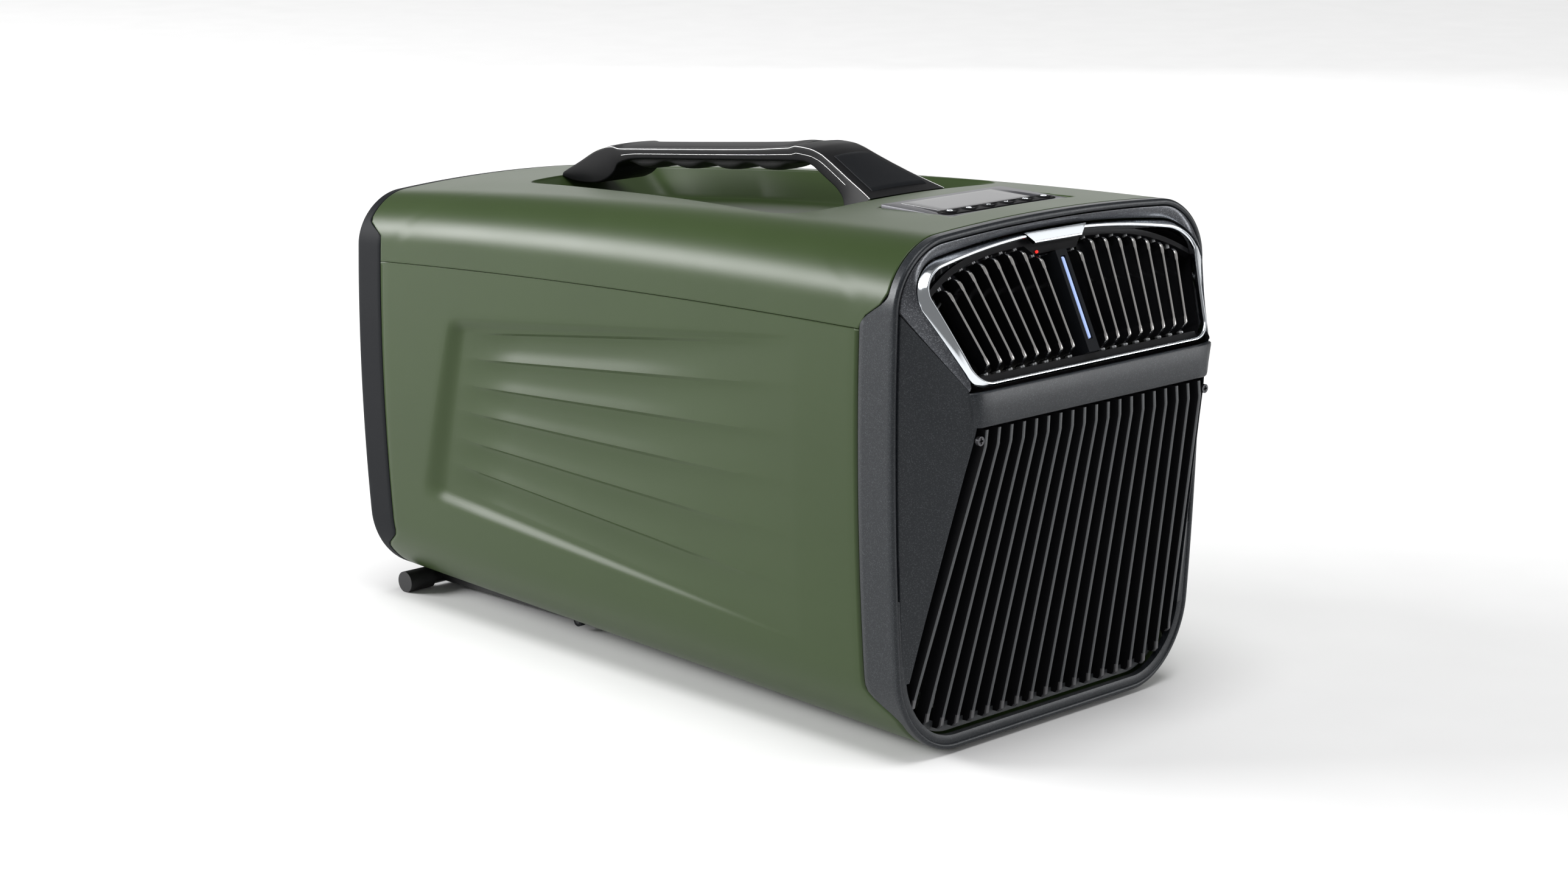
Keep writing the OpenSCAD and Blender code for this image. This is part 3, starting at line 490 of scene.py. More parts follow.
def plan_z(kind, y):
    """Height over y of one row of the side's mesh."""
    top_o, top_i = line(TOP_OUT, y), line(TOP_IN, y)
    low_i, low_o = line(LOW_IN, y), line(LOW_OUT, y)
    if kind[0] == "plain":
        seam = place(0.0, SEAM - 0.75, y)[..., 2]
        return seam + (top_o - seam) * kind[1]
    if kind[0] == "top":
        return top_o + (top_i - top_o) * kind[1]
    if kind[0] == "band":
        a, b = line(lines[kind[1]], y), line(lines[kind[1] + 1], y)
        return a + (b - a) * kind[2]
    if kind[0] == "low":
        return low_i + (low_o - low_i) * kind[1]
    base = place(0.0, R_LOW, y)[..., 2]
    return low_o + (base - low_o) * kind[1]


cover_rows = []
for kind in row_plan:
    z_guess = 130.0
    for _ in range(3):
        z_rear = z_guess if kind[0] in ("edge", "edge0", "arc", "flat") else plan_z(kind, 390.0)
        if kind[0] in ("edge", "edge0"):
            z_rear, z_front = 225.0, SEAM
        elif kind[0] == "arc":
            ang = kind[1] * math.pi / 2
            z_rear, z_front = 60.0, R_LOW - R_LOW * math.sin(ang)
        elif kind[0] == "flat":
            z_rear, z_front = 60.0, 0.0
        else:
            z_front = section_z(plan_z(kind, 28.0), 28.0)
    z_back = z_front if kind[0] in ("arc", "flat", "edge", "edge0") else section_z(plan_z(kind, 462.0), 462.0)
    y_a, y_b = float(front_seam(z_front)) + GAP, float(rear_seam(z_back)) - GAP
    yi, yo = float(rear_in(z_rear)), float(rear_out(z_rear))
    stops = [y_a, y_a + 0.5, 62, 150, yi - 30, yi, yo, y_b - 0.5, y_b]
    y = np.interp(U, knots, stops)
    end_inset = np.where((U == 0) | (U == 1), 0.4, 0.0)
    if kind[0] in ("edge", "edge0"):
        s_edge = LOW_LEN - GAP - (0.5 if kind[0] == "edge0" else 0)
        x, z = raw_low(np.full(NY, -s_edge), np.maximum(kind[1], end_inset))
    elif kind[0] == "arc":
        x, z = raw_low(-(A_LOW + ARC_LOW * (1 - kind[1])) * np.ones(NY), end_inset)
    elif kind[0] == "flat":
        x, z = raw_low(-A_LOW * (1 - kind[1]) * np.ones(NY), end_inset)
    else:
        x, z = -(W / 2 - end_inset), section_z(plan_z(kind, y), y)
    x, z = crowned(x, z)
    P = place(x, z, y)
    floor = 4.2 * np.clip((y - 78) / 290, 0, 1) ** 0.8 * (1 - ease(0, 1, (y - yi) / (yo - yi)))
    scallop = 3.1 * ease(0, 1, (y - 60) / 170) * ease(0, 1, (yi + 4 - y) / 60)
    if kind[0] == "top":
        d = floor * ease(0, 1, kind[1])
    elif kind[0] == "low":
        d = floor * ease(0, 1, 1 - kind[1])
    elif kind[0] == "band":
        u = kind[2]
        d = floor + scallop * 2.7 * u ** 0.6 * (1 - u) ** 1.12
    else:
        d = 0 * y
    P[:, 0] += d
    cover_rows.append(P)
half = np.array(cover_rows)
other = half[::-1].copy()[1:]
other[..., 0] *= -1
lower_cover = grid("lower_cover", np.concatenate([half, other]), angle=16, slot="olive_casing", mats=[GREEN])
solid(lower_cover, WALL)
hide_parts("lower_shell")

# ---------------------------------------------------------------------------
# Rings at both ends
# ---------------------------------------------------------------------------
def full_skin(y_fn, inset):
    """One closed row round the casing, y from the front-section height."""
    top = np.linspace(-TOP_LEN, TOP_LEN, 150)
    low = np.linspace(LOW_LEN, -LOW_LEN, 190)[1:-1]
    y_top, y_low = y_fn(raw_top(top)[1]), y_fn(raw_low(low)[1])
    return np.concatenate([skin_top(top, y_top, inset), skin_low(low, y_low, inset)])


def const(v):
    """A row's y that is the same all round."""
    return lambda z: np.full_like(np.asarray(z, float), v)


front_rows = [full_skin(const(4.0), 4.0), full_skin(const(0.9), 3.7), full_skin(const(0.25), 3.1),
              full_skin(const(0.0), 2.3), full_skin(const(0.1), 1.2), full_skin(const(0.55), 0.45),
              full_skin(const(1.4), 0.0)]
for t in np.linspace(0.12, 1, 8):
    front_rows.append(full_skin(lambda z, t=t: 1.4 + (front_seam(z) - 0.75 - 1.4) * t, 0.0))
front_rows += [full_skin(lambda z: front_seam(z) - GAP, inset) for inset in (0.4, 3.4)]
front = grid("front_ring_skin", np.array(front_rows), close_n=True, close_m=True, angle=40,
             slot="gunmetal_ring", mats=[GUN])
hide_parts("front_ring")

rear_rows = [full_skin(lambda z: rear_seam(z) + GAP, 3.4), full_skin(lambda z: rear_seam(z) + GAP, 0.4),
             full_skin(lambda z: rear_seam(z) + 0.75, 0.0)]
for t in np.linspace(0.15, 1, 7):
    rear_rows.append(full_skin(
        lambda z, t=t: rear_seam(z) + 0.75 + (L - 4.2 - rear_seam(z) - 0.75) * t, 0.0))
rear_rows += [full_skin(const(L - 4.2 + 4.2 * math.sin(a)), 4.2 * (1 - math.cos(a)) * 0.9)
              for a in np.linspace(0.25, math.pi / 2, 6)]
rear_rows += [full_skin(const(L - 0.3), 4.0), full_skin(const(L - 6), 4.1)]
rear = grid("rear_ring_skin", np.array(rear_rows), close_n=True, close_m=True, angle=40,
            slot="charcoal_plastic", mats=[CHAR])
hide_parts("rear_ring")

# ---------------------------------------------------------------------------
# Nose: side facets, bar and lower lip, then the bright trim and the band round the outlet
# ---------------------------------------------------------------------------
def mirror_join(name, P, **kw):
    """Joins a loft (rows of points, casing frame) with its mirror image."""
    v, f = loft(P)
    w = v.copy()
    w[:, 0] *= -1
    return join(name, [(v, f), (w, [q[::-1] for q in f])], **kw)


ring_edge = resample([(-126.4, 0.7, 250.6), (-127.4, 0.7, 215), (-127.5, 0.7, 190), (-126.6, 0.7, 145),
                      (-124.8, 0.7, 100), (-122.4, 0.7, 66), (-120.4, 0.7, 46)], 48, smooth=2)
tip_edge = np.concatenate([np.linspace((-102, -28.2, BAR_TOP), (-97, -29.5, BAR_LOW), 12)[:-1],
                           resample([(-97, -29.5, 189.5), (-97.9, -28.4, 182), (-101, -23.4, 160),
                                     (-116, 0.3, 46)], 37, smooth=1)])
facet_rows = []
for a, b in zip(ring_edge, tip_edge):
    d = b - a
    ts = [0, 0.012, 0.03, 0.25, 0.5, 0.75, 0.965, 0.99, 1.0]
    dip = [1.6, 0.45, 0, 0, 0, 0, 0, 0.35, 1.5]
    front_side = [a + d * t + np.array([0, q, 0]) for t, q in zip(ts, dip)]
    back_side = [a + d * t + np.array([0.0, 3.2, 0]) for t in (0.98, 0.5, 0.02)]
    facet_rows.append(front_side + back_side)
facets = mirror_join("nose_facets", facet_rows, angle=28, slot="gunmetal_ring", mats=[GUN])

bar_rows = []
for x in np.r_[-98.6, -98.2, -97.2, np.linspace(-95, 95, 24), 97.2, 98.2, 98.6]:
    e = max(0.0, (abs(x) - 95) / 3.6)
    back = 3.4 * e * e
    prof = [(-28.4, 209.2), (-30.6, 209.4), (-31.6, 208.8), (-32.0, 207.6), (-32.0, 200), (-32.0, 192.4),
            (-31.7, 190.9), (-30.9, 190.1), (-28.6, 189.9)]
    skew = 4.4 * e * np.array([(z - 189.9) / 20 for _, z in prof])
    bar_rows.append([(x + math.copysign(s, x) * (e > 0), y + back * 0.8, z) for (y, z), s in zip(prof, skew)])
bar = grid("nose_bar", np.array(bar_rows), close_n=True, cap=True, angle=40,
           slot="gunmetal_ring", mats=[GUN])
lip_rows = []
for s in np.linspace(-1, 1, 150):
    a = s * 205
    x, z = raw_low(a, 3.6)
    x2, z2 = raw_low(a, 8.3)
    p, q = crowned(x, z), crowned(x2, z2)
    lip_rows.append([(p[0], 0.9, p[1]), (p[0], 5.3, p[1]), (q[0], 5.3, q[1]), (q[0], 1.3, q[1]),
                     ((p[0] + q[0]) / 2, 0.5, (p[1] + q[1]) / 2)])
lip = grid("nose_lower_lip", np.array(lip_rows), close_n=True, cap=True, angle=40,
           slot="gunmetal_ring", mats=[GUN])
for part in (facets, bar, lip):
    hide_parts("nose_frame")


def outline(wb, wt, v0, v1, rb, rt, drop, n=16):
    """Right half of an outline in the outlet's plane, from the bottom's middle to the top's middle."""
    s = math.atan((wt - wb) / (v1 - v0))
    low = [(wb - rb + rb * math.cos(a), v0 + rb + rb * math.sin(a))
           for a in np.linspace(-math.pi / 2, -s, n)]
    top = [(wt - rt + rt * math.cos(a), v1 - rt + rt * math.sin(a))
           for a in np.linspace(-s, math.pi / 2, n + 6)]
    side = np.linspace(low[-1], top[0], 16)[1:-1]
    q = np.array([(x, v0) for x in np.linspace(0, low[0][0], 12)[:-1]] + low + [tuple(p) for p in side] +
                 top + [(x, v1) for x in np.linspace(top[-1][0], 0, 16)[1:]])
    q[:, 1] -= drop * (q[:, 0] / wt * (q[:, 1] - v0) / (v1 - v0)) ** 2
    return q


def plane(x, d, v):
    """Point x across, d behind and v up the outlet's plane, in the casing frame."""
    x, d, v = np.broadcast_arrays(np.asarray(x, float), d, v)
    return np.stack([x, OUTLET_Y + d * math.cos(LEAN) + v * math.sin(LEAN),
                     OUTLET_Z - d * math.sin(LEAN) + v * math.cos(LEAN)], -1)


def both(half):
    """Closes a right half outline into a full loop."""
    left = half[::-1][1:-1] * np.array([-1, 1])
    return np.concatenate([half, left])


outer = both(outline(102, 119, -3.2, 76.4, 11, 24, 10))
ridge = both(outline(101.2, 113.4, -2.6, 74.6, 15, 17, 12))
inner = both(outline(99.6, 111.6, -1.2, 72.8, 14, 15.5, 12))
chrome_rows = [plane(q[:, 0], d, q[:, 1]) for q, d in (
    (outer, 4.7), (outer, 3.5), (outer * 0.96 + ridge * 0.04, 3.1), (outer * 0.5 + ridge * 0.5, 1.75),
    (outer * 0.1 + ridge * 0.9, 0.45), (ridge, 0.1), (ridge * 0.75 + inner * 0.25, 0.0),
    (ridge * 0.4 + inner * 0.6, 0.12), (ridge * 0.1 + inner * 0.9, 0.6), (inner, 1.5), (inner, 4.7))]
chrome = grid("chrome_surround", np.array(chrome_rows), close_n=True, close_m=True, angle=50,
              slot="chrome_trim", mats=[CHROME])
tab_rows = []
for t, d in ((0.0, 1.6), (0.0, -0.2), (0.04, -0.5), (0.12, -0.6), (0.88, -0.6), (0.96, -0.45),
             (1.0, -0.1), (1.0, 1.8)):
    v = 75 + (68.4 - 75) * t
    w = 26.3 + (19.2 - 26.3) * t
    tab_rows.append(plane(np.linspace(-w, w, 30), d, v))
tab = grid("chrome_tab", np.array(tab_rows), close_m=True, angle=40, slot="chrome_trim", mats=[CHROME])
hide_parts("chrome_trim")
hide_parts("chrome_trim")

lip_out = outline(102.6, 119.6, -3.8, 77, 11, 24, 10)
band_in = resample(np.vstack([[(101.6, -1.6)], lip_out[22:-15]]), 160)
ring_arc = [(102.3, -27.9, 210.3)]
for a in np.linspace(0, math.pi / 2, 26):
    x, z = crowned(A_TOP + 32.6 * math.cos(a), H - R_TOP + 32.6 * math.sin(a))
    ring_arc.append((float(x), 0.45, float(z)))
band_out = resample(ring_arc, 160)
inner_pts = plane(band_in[:, 0], 3.0, band_in[:, 1])
x_top = np.linspace(1, 0, 14)[1:]
x_in = band_in[-1, 0] * x_top
flat_in = plane(x_in, 3.0, np.interp(x_in, lip_out[:-16:-1, 0], lip_out[:-16:-1, 1]))
x_out, z_out = crowned(A_TOP * x_top, np.full(13, H - 4.4))
flat_out = np.column_stack([x_out, np.full(13, 0.45), z_out])
P_in, P_out = np.vstack([inner_pts, flat_in]), np.vstack([band_out, flat_out])
P_in = np.vstack([P_in, (P_in[::-1] * [-1, 1, 1])[1:]])
P_out = np.vstack([P_out, (P_out[::-1] * [-1, 1, 1])[1:]])
band_rows = []
for t, q in ((0, 2.6), (0, 0.8), (0.015, 0.25), (0.05, 0), (0.3, -0.25), (0.6, -0.3), (0.94, 0),
             (0.985, 0.25), (1, 0.8), (1, 2.6)):
    band_rows.append(P_in + (P_out - P_in) * t + np.array([0, q, 0]))
band = grid("outlet_band", np.array(band_rows), close_m=True, angle=45, slot="band_grey", mats=[BAND])
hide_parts("outlet_frame")

# ---------------------------------------------------------------------------
# Vanes with their pivots, the light bar and the status light
# ---------------------------------------------------------------------------
V0, DEPTH, CHORD, FAN = 5.0, 7.7, 13.0, 0.0033
BANK_GAP, VANE_PITCH = 14.1, 9.9


def vane_x(side, k, v):
    """Vane k's distance from the middle at height v; the banks fan out upwards."""
    return side * (BANK_GAP + (k - 1) * VANE_PITCH) * (1 + FAN * (v - V0))


def vane_top(k):
    return 62.5 if k == 1 else 68 - 13 * (vane_x(1, k, 62) / 96) ** 3.4


def vane_section(c, t):
    """Blade section: rounded bead at the front, thin tail; (x, depth) for chord c, thickness t."""
    bead = [(t * 0.62 * math.cos(q), -c / 2 + 0.75 + 0.75 * math.sin(q))
            for q in np.linspace(math.pi, 2 * math.pi, 7)]
    tail = [(t * 0.46, -c / 2 + 2.2), (t * 0.34, 0), (t * 0.2, c / 2 - 0.4), (0, c / 2),
            (-t * 0.2, c / 2 - 0.4), (-t * 0.34, 0), (-t * 0.46, -c / 2 + 2.2)]
    return np.array(bead + tail)


for side, tag in ((-1, "left"), (1, "right")):
    for k in range(1, 9):
        top = vane_top(k)
        mid = [(v, 1.0, 0.0) for v in np.linspace(13, top - 9, 6)]
        foot = [(5, 0.8, 6.0), (5.4, 1.3, 5.2), (6.8, 1.6, 2.6), (8.0, 1.7, 0.7), (8.8, 1.7, 0.1),
                (11.4, 1.6, 0), (12.2, 1.15, 0)]
        head = [(top - 8.4, 1.15, 0), (top - 7.8, 1.6, 0), (top - 5, 1.7, 0), (top - 3.2, 1.7, 0.5),
                (top - 1.8, 1.6, 1.5), (top - 0.7, 1.4, 3.2), (top - 0.1, 1.0, 5.2)]
        rows = []
        for v, w, cut in foot + mid + head:  # height, width, and how far the front is cut back
            sec = vane_section(CHORD - cut, 1.2 * w)
            rows.append(plane(vane_x(side, k, v) + sec[:, 0], DEPTH + cut / 2 + sec[:, 1], v))
        blade = join(f"{tag}_blade_{k}", [loft(rows)], body=f"{tag}_vane_{k}", angle=50,
                     slot="vane_grey", mats=[VANE, BEAD])
        for poly in blade.data.polygons:
            c = poly.center
            y_c, z_c = c.y * 1000 + MID_Y - OUTLET_Y, c.z * 1000 - LIFT - OUTLET_Z
            depth = y_c * math.cos(LEAN) - z_c * math.sin(LEAN)
            poly.material_index = 1 if depth < DEPTH - CHORD / 2 + 0.9 else 0
        pins = []
        for v in (V0 - 3.6, top - 0.4):
            ax = [plane(vane_x(side, k, v + q), DEPTH, v + q) for q in (0, 0.3, 3.2, 3.5)]
            pins.append(tube(ax, [1.1, 1.45, 1.45, 1.1], 14))
        collar = [plane(vane_x(side, k, v), DEPTH, v) for v in (3.5, 3.7, 4.7, 5.0)]
        pins.append(tube(collar, [1.4, 1.9, 1.9, 1.4], 14))
        pin = join(f"{tag}_pivots_{k}", pins, body=f"{tag}_vane_{k}", slot="bright_rod", mats=[STEEL])
        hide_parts(f"{tag}_vane_{k}")
        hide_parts(f"{tag}_vane_{k}")

# Glowing bar with rounded face in the middle post
glow_rows = []
for v, r in ((10.9, 0.4), (11.2, 0.85), (12, 1.0), (20, 1), (32, 1), (44, 1), (57.4, 1.0),
             (58.2, 0.85), (58.6, 0.4)):
    a = np.linspace(math.pi, 0, 9)
    glow_rows.append(np.concatenate([plane(1.2 * np.cos(a) * r, 1.6 - 0.9 * np.sin(a) * r, v),
                                     plane(np.array([1.2, -1.2]) * r, 3.4, v)]))
glow = grid("light_bar", np.array(glow_rows), close_n=True, cap=True, angle=50, slot="light_bar", mats=[GLOW])
dot_rows = [plane(-15.6 + r * np.cos(np.linspace(0, 2 * math.pi, 20, endpoint=False)), d,
                  64.4 + r * np.sin(np.linspace(0, 2 * math.pi, 20, endpoint=False)))
            for r, d in ((0.8, 4.9), (0.8, 4.1), (0.65, 3.8), (0.3, 3.7), (0.05, 3.65))]
dot = grid("status_light", np.array(dot_rows), close_n=True, cap=True, angle=50, slot="light_bar", mats=[RED])
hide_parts("light_strip")
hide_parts("light_strip")

# ---------------------------------------------------------------------------
# Lower grille: slats with a bevelled front edge, on ribs and two cross bars
# ---------------------------------------------------------------------------
def slat_tip(x):
    """Height at which a slat ends over the casing's lower corner."""
    over = max(0.0, abs(x) - 76)
    return 12 + R_LOW - math.sqrt(max(1, R_LOW ** 2 - over ** 2))


slat_parts = []
for k in range(SLATS):
    u = 2 * k / (SLATS - 1) - 1
    lean = math.atan(21.5 * u / (BAR_LOW - 23))
    tip = slat_tip(112 * u)
    run = [(-30.6 + 31.4 * q, 178.2 + (tip + 7 - 178.2) * q, 14.4 - 6.2 * q) for q in np.linspace(0, 1, 9)]
    path = [(-30.8, 188.4, 14.6), (-30.8, 179.6, 14.6)] + run + [(1.4, tip + 2.2, 7.6), (3.2, tip + 0.2, 6)]
    rows = []
    for y, z, deep in path:
        x = 90.5 * u + (BAR_LOW - z) * math.tan(lean)
        section = [(-1.45, deep), (-1.5, 1.3), (-1.2, 0.4), (-0.6, 0.0),
                   (0.6, 0.0), (1.2, 0.4), (1.5, 1.3), (1.45, deep)]
        rows.append([(x + across, y + back, z) for across, back in section])
    slat_parts.append(loft(rows))
back_bar = [[(x, -14, 180), (x, -14, 188.3), (x, -10.2, 188.3), (x, -10.2, 180)] for x in (-92, 0, 92)]
low_rows = []
for s in np.linspace(-1, 1, 80):
    x, z = raw_low(s * 118, 9.2)
    x2, z2 = raw_low(s * 118, 14.8)
    p, q = crowned(x, z), crowned(x2, z2)
    low_rows.append([(p[0], 7.6, p[1]), (p[0], 12.4, p[1]), (q[0], 12.4, q[1]), (q[0], 7.6, q[1])])


def behind(x, z):
    """A point just behind the slats."""
    return x, -19.5 + 31.4 * (178.2 - z) / 159.2, z


ribs = [loft([[(x, behind(x, z)[1] + p, z + q) for p, q in ((0, -1.3), (3.5, -1.3), (3.5, 1.3), (0, 1.3))]
              for x in (-47, 47)]) for z in (122, 131)]
ribs += [tube([behind(s * 76, 172), behind(s * 90, 104), behind(s * 103, 36)], 1.7, 8) for s in (-1, 1)]
grille = join("grille_slats", slat_parts + ribs + [loft(back_bar), loft(low_rows)], angle=30,
              slot="black_plastic", mats=[BLACK, SLAT, TIP])
# Faces turned to the front take the grey slat finish and all other faces black_plastic, so the slats' sides
# carry painted shade; front faces near the tips take slat_tip.
for poly in grille.data.polygons:
    x_c, y_c, z_c = poly.center.x * 1000, poly.center.y * 1000 + MID_Y, poly.center.z * 1000 - LIFT
    if z_c < slat_tip(x_c) + 6 and y_c < 4.5 and poly.normal.y < -0.2:
        poly.material_index = 2
    elif poly.normal.y < -0.5:
        poly.material_index = 1
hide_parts("lower_grille")

# ---------------------------------------------------------------------------
# Handle: one swept bar with a crowned section, front foot flaring out
# ---------------------------------------------------------------------------
stations = [  # outer edge (y, z), inner edge (y, z), half width
    ((397.2, 273.6), (386, 270.6), 16.8), ((396, 275.6), (381, 270.5), 17.4),
    ((391, 278.0), (374, 270.6), 18.2), ((378, 284.5), (364, 271.2), 19), ((370, 289), (357, 272.6), 19),
    ((362, 293.2), (350, 275.6), 19), ((353, 296.3), (344.5, 280), 19), ((344, 297.6), (341.8, 285.6), 19),
    ((330, 298.8), (329, 289.9), 19), ((300, 301.6), (298.5, 292.7), 19),
    ((270, 304.5), (268.5, 295.4), 19), ((240, 307.4), (238.5, 298.1), 19),
    ((215, 310.0), (212.5, 300.5), 19), ((200, 312.0), (196, 302.1), 19),
    ((190, 313.3), (186.5, 302.9), 19), ((180, 313.2), (178.5, 303.3), 19),
    ((173, 312.8), (172, 301.6), 19), ((165, 310.8), (166, 298.2), 19.2),
    ((156, 307.2), (158.5, 295), 20.6), ((146, 303.2), (149, 291.4), 22.8),
    ((136, 299.3), (142, 287.4), 25.2), ((126, 295.6), (138.2, 283.5), 27.6),
    ((118, 292.8), (137.4, 277.5), 29.8), ((113.4, 291.1), (137, 271.2), 31.4)]
S = np.array([(*a, *b, w) for a, b, w in stations])
t_s = np.linspace(0, len(S) - 1, 120)
S = np.stack([np.interp(t_s, np.arange(len(S)), S[:, c]) for c in range(5)], 1)
for _ in range(3):
    S[1:-1] = 0.25 * S[:-2] + 0.5 * S[1:-1] + 0.25 * S[2:]
S[:, 1] -= 0.9 + 1.5 * ease(186, 192, S[:, 0]) * (1 - ease(340, 348, S[:, 0]))  # room for the pad
u_sec = np.linspace(-1, 1, 21)
handle_rows, rim_l, rim_m = [], [], []
for yo, zo, yi, zi, w in S:
    o, i = np.array([yo, zo]), np.array([yi, zi])
    d = (i - o) / np.linalg.norm(i - o)
    thick = np.linalg.norm(i - o)
    r = min(1.5, thick * 0.2)
    crown = [(u * (w - r), o + d * (-0.7 * (1 - u * u))) for u in u_sec]
    corners = [(w - r + r * math.sin(a), o + d * (r * (1 - math.cos(a))))
               for a in np.linspace(0.2, math.pi / 2, 5)]
    corners += [(w - r + r * math.cos(a), i - d * (r * (1 - math.sin(a))))
                for a in np.linspace(0, math.pi / 2, 5)]
    mirrored = [(-x, p) for x, p in corners[::-1]]
    handle_rows.append([(x, p[0], p[1]) for x, p in crown + corners + mirrored])
    for sgn in (-1, 1):
        q = o + d * (r * 0.32)
        rim_l.append((sgn, (sgn * (w - r * 0.16), q[0], q[1])))
        q = o + d * min(thick * 0.5, 4.6)
        rim_m.append((sgn, (sgn * (w + 0.12), q[0], q[1])))
handle = grid("carry_handle", np.array(handle_rows), close_n=True, cap=True, angle=50,
              slot="black_plastic", mats=[HANDLE])
# Thin bright tubes along each side of the handle: painted highlights on its rounded upper edge and on the
# step lower down.
pins = []
for sgn in (-1, 1):
    line_a = [p for s, p in rim_l if s == sgn][20:]
    line_b = [p for s, p in rim_m if s == sgn][38:104]
    pins += [tube(line_a, 0.34, 6), tube(line_b, 0.22, 6)]
edge_glint = join("handle_edge_glints", pins, angle=80, slot="chrome_trim", mats=[HANDLE_EDGE_GLINT])
pad_rows = []
for t in np.linspace(0, 1, 60):
    y = 346 - 158 * t
    j = int(np.argmin(abs(S[:, 0] - y)))
    o = S[j, :2]
    h = 1.2 * min(1, math.sin(math.pi * min(t * 6, 0.5)), math.sin(math.pi * min((1 - t) * 9, 0.5))) + 0.05
    h += 0.5 * math.exp(-((y - 196) / 7) ** 2)
    wd = 14.6
    pad_rows.append([(wd * math.cos(a), y, np.interp(y, S[::-1, 0], S[::-1, 1]) - 0.2 +
                      (1.2 * (1 - math.cos(a) ** 2) + h) * (math.sin(a) ** 0.35 if math.sin(a) > 1e-6 else 0))
                     for a in np.linspace(0, math.pi, 25)])
pad = grid("handle_top_pad", np.array(pad_rows), close_n=True, cap=True, angle=50,
           slot="rubber_grip", mats=[GRIP])
leg_rows = []
for t in np.linspace(0, 1, 24):
    y = 160 - 40 * t
    z = np.interp(y, S[::-1, 0], S[::-1, 1])
    wd = np.interp(y, S[::-1, 0], S[::-1, 4]) - 6.2
    h = 0.7 if 0 < t < 1 else 0.1
    leg_rows.append([(-wd, y, z - 0.6), (-wd + 0.4, y, z + h + 0.25), (-wd * 0.5, y, z + h + 0.85),
                     (0, y, z + h + 1.0), (wd * 0.5, y, z + h + 0.85), (wd - 0.4, y, z + h + 0.25),
                     (wd, y, z - 0.6)])
leg = grid("handle_leg_panel", np.array(leg_rows), close_n=True, cap=True, angle=50,
           slot="black_plastic", mats=[CHAR])
for part in (handle, edge_glint, pad, leg):
    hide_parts("handle_frame")

grip_rows = []
for y in np.linspace(342.5, 188.5, 150):
    z0 = 302.9 + (y - 187) * (288.7 - 302.9) / 157 - 0.15
    u = (y - 190) / 36.0
    lobe = 0.5 - 0.5 * math.cos(2 * math.pi * (u - 0.1))
    e = min(1.0, (y - 188.0) / 5, (343.2 - y) / 5)
    deep = (2.5 + 4.0 * (1 - (1 - lobe) ** 1.6)) * math.sqrt(max(0.03, e))
    w = 15.8 - 1.4 * (1 - math.sqrt(max(0.03, e)))
    a = np.linspace(0, math.pi, 17)
    grip_rows.append([(w * math.copysign(abs(math.cos(q)) ** 0.55, math.cos(q)), y,
                       z0 - deep * math.sin(q) ** 0.6 if q else z0) for q in a[:-1]] + [(-w, y, z0)])
grip = grid("finger_grip", np.array(grip_rows), close_n=True, cap=True, angle=60,
            slot="rubber_grip", mats=[GRIP])
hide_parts("handle_grip")

# ---------------------------------------------------------------------------
# Display panel, button strip and buttons
# ---------------------------------------------------------------------------
def rounded(w, h, r, cx=0.0, cy=0.0, n=8):
    """Outline of a round-cornered rectangle."""
    pts = []
    for sx, sy, a0 in ((1, 1, 0), (-1, 1, 90), (-1, -1, 180), (1, -1, 270)):
        for a in np.radians(np.linspace(a0, a0 + 90, n)):
            pts.append((cx + sx * (w / 2 - r) + r * math.cos(a), cy + sy * (h / 2 - r) + r * math.sin(a)))
    return np.array(pts)


def plate(name, w, h, r, cx, cy, z0, z1, edge_r, mats, slot, crown):
    """Round-cornered plate with a softened upper edge."""
    rows = []
    for e, z in ((0, z0), (0, z1 - edge_r), (edge_r * 0.3, z1 - edge_r * 0.3), (edge_r, z1)):
        q = rounded(w - 2 * e, h - 2 * e, max(r - e, 0.05), cx, cy)
        rows.append(on_panel(q[:, 0], q[:, 1], z))
    for s in (0.8, 0.5, 0.2, 0.01):
        q = rounded(w - 2 * edge_r, h - 2 * edge_r, max(r - edge_r, 0.05))
        rows.append(on_panel(cx + q[:, 0] * s, cy + q[:, 1] * s, z1 + crown * (1 - s * s)))
    return grid(name, np.array(rows), close_n=True, cap=True, angle=40, slot=slot, mats=mats)


panel = plate("display_panel", 101.2, 55.2, 1.6, 0, 28, -0.5, 2.2, 0.4, [PANEL], "display_black", 0.25)
glass = plate("display_glass", 76, 30.6, 1.0, -2, 34.7, 1.9, 2.5, 0.25, [GLASS], "display_black", 0.1)
bezel = plate("button_strip", 93.6, 10.8, 5.38, 0, KEY_Y, 1.0, 2.78, 0.35, [GLOSSB], "black_plastic", 0.15)
q = rounded(94.4, 11.6, 5.8, 0, KEY_Y)
carve(panel, [loft([on_panel(q[:, 0], q[:, 1], z) for z in (-3, 6)])])
holes = [rounded(8.4, 8.4, 4.2, (k - 3.5) * KEY_PITCH, KEY_Y) for k in range(1, 7)]
carve(bezel, [loft([on_panel(q[:, 0], q[:, 1], z) for z in (-3, 6)]) for q in holes])
for part in (panel, glass):
    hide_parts("display_lens")
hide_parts("button_bezel")


def ring_icon(x, y, r, w, a0=0, a1=360):
    a = np.radians(np.linspace(a0, a1, 24))
    return tube(on_panel(x + r * np.cos(a), y + r * np.sin(a), ICON_Z), w, 6)


def line_icon(pts, w=0.22):
    p = np.array(pts, float)
    return tube(on_panel(p[:, 0], p[:, 1], ICON_Z), w, 6)


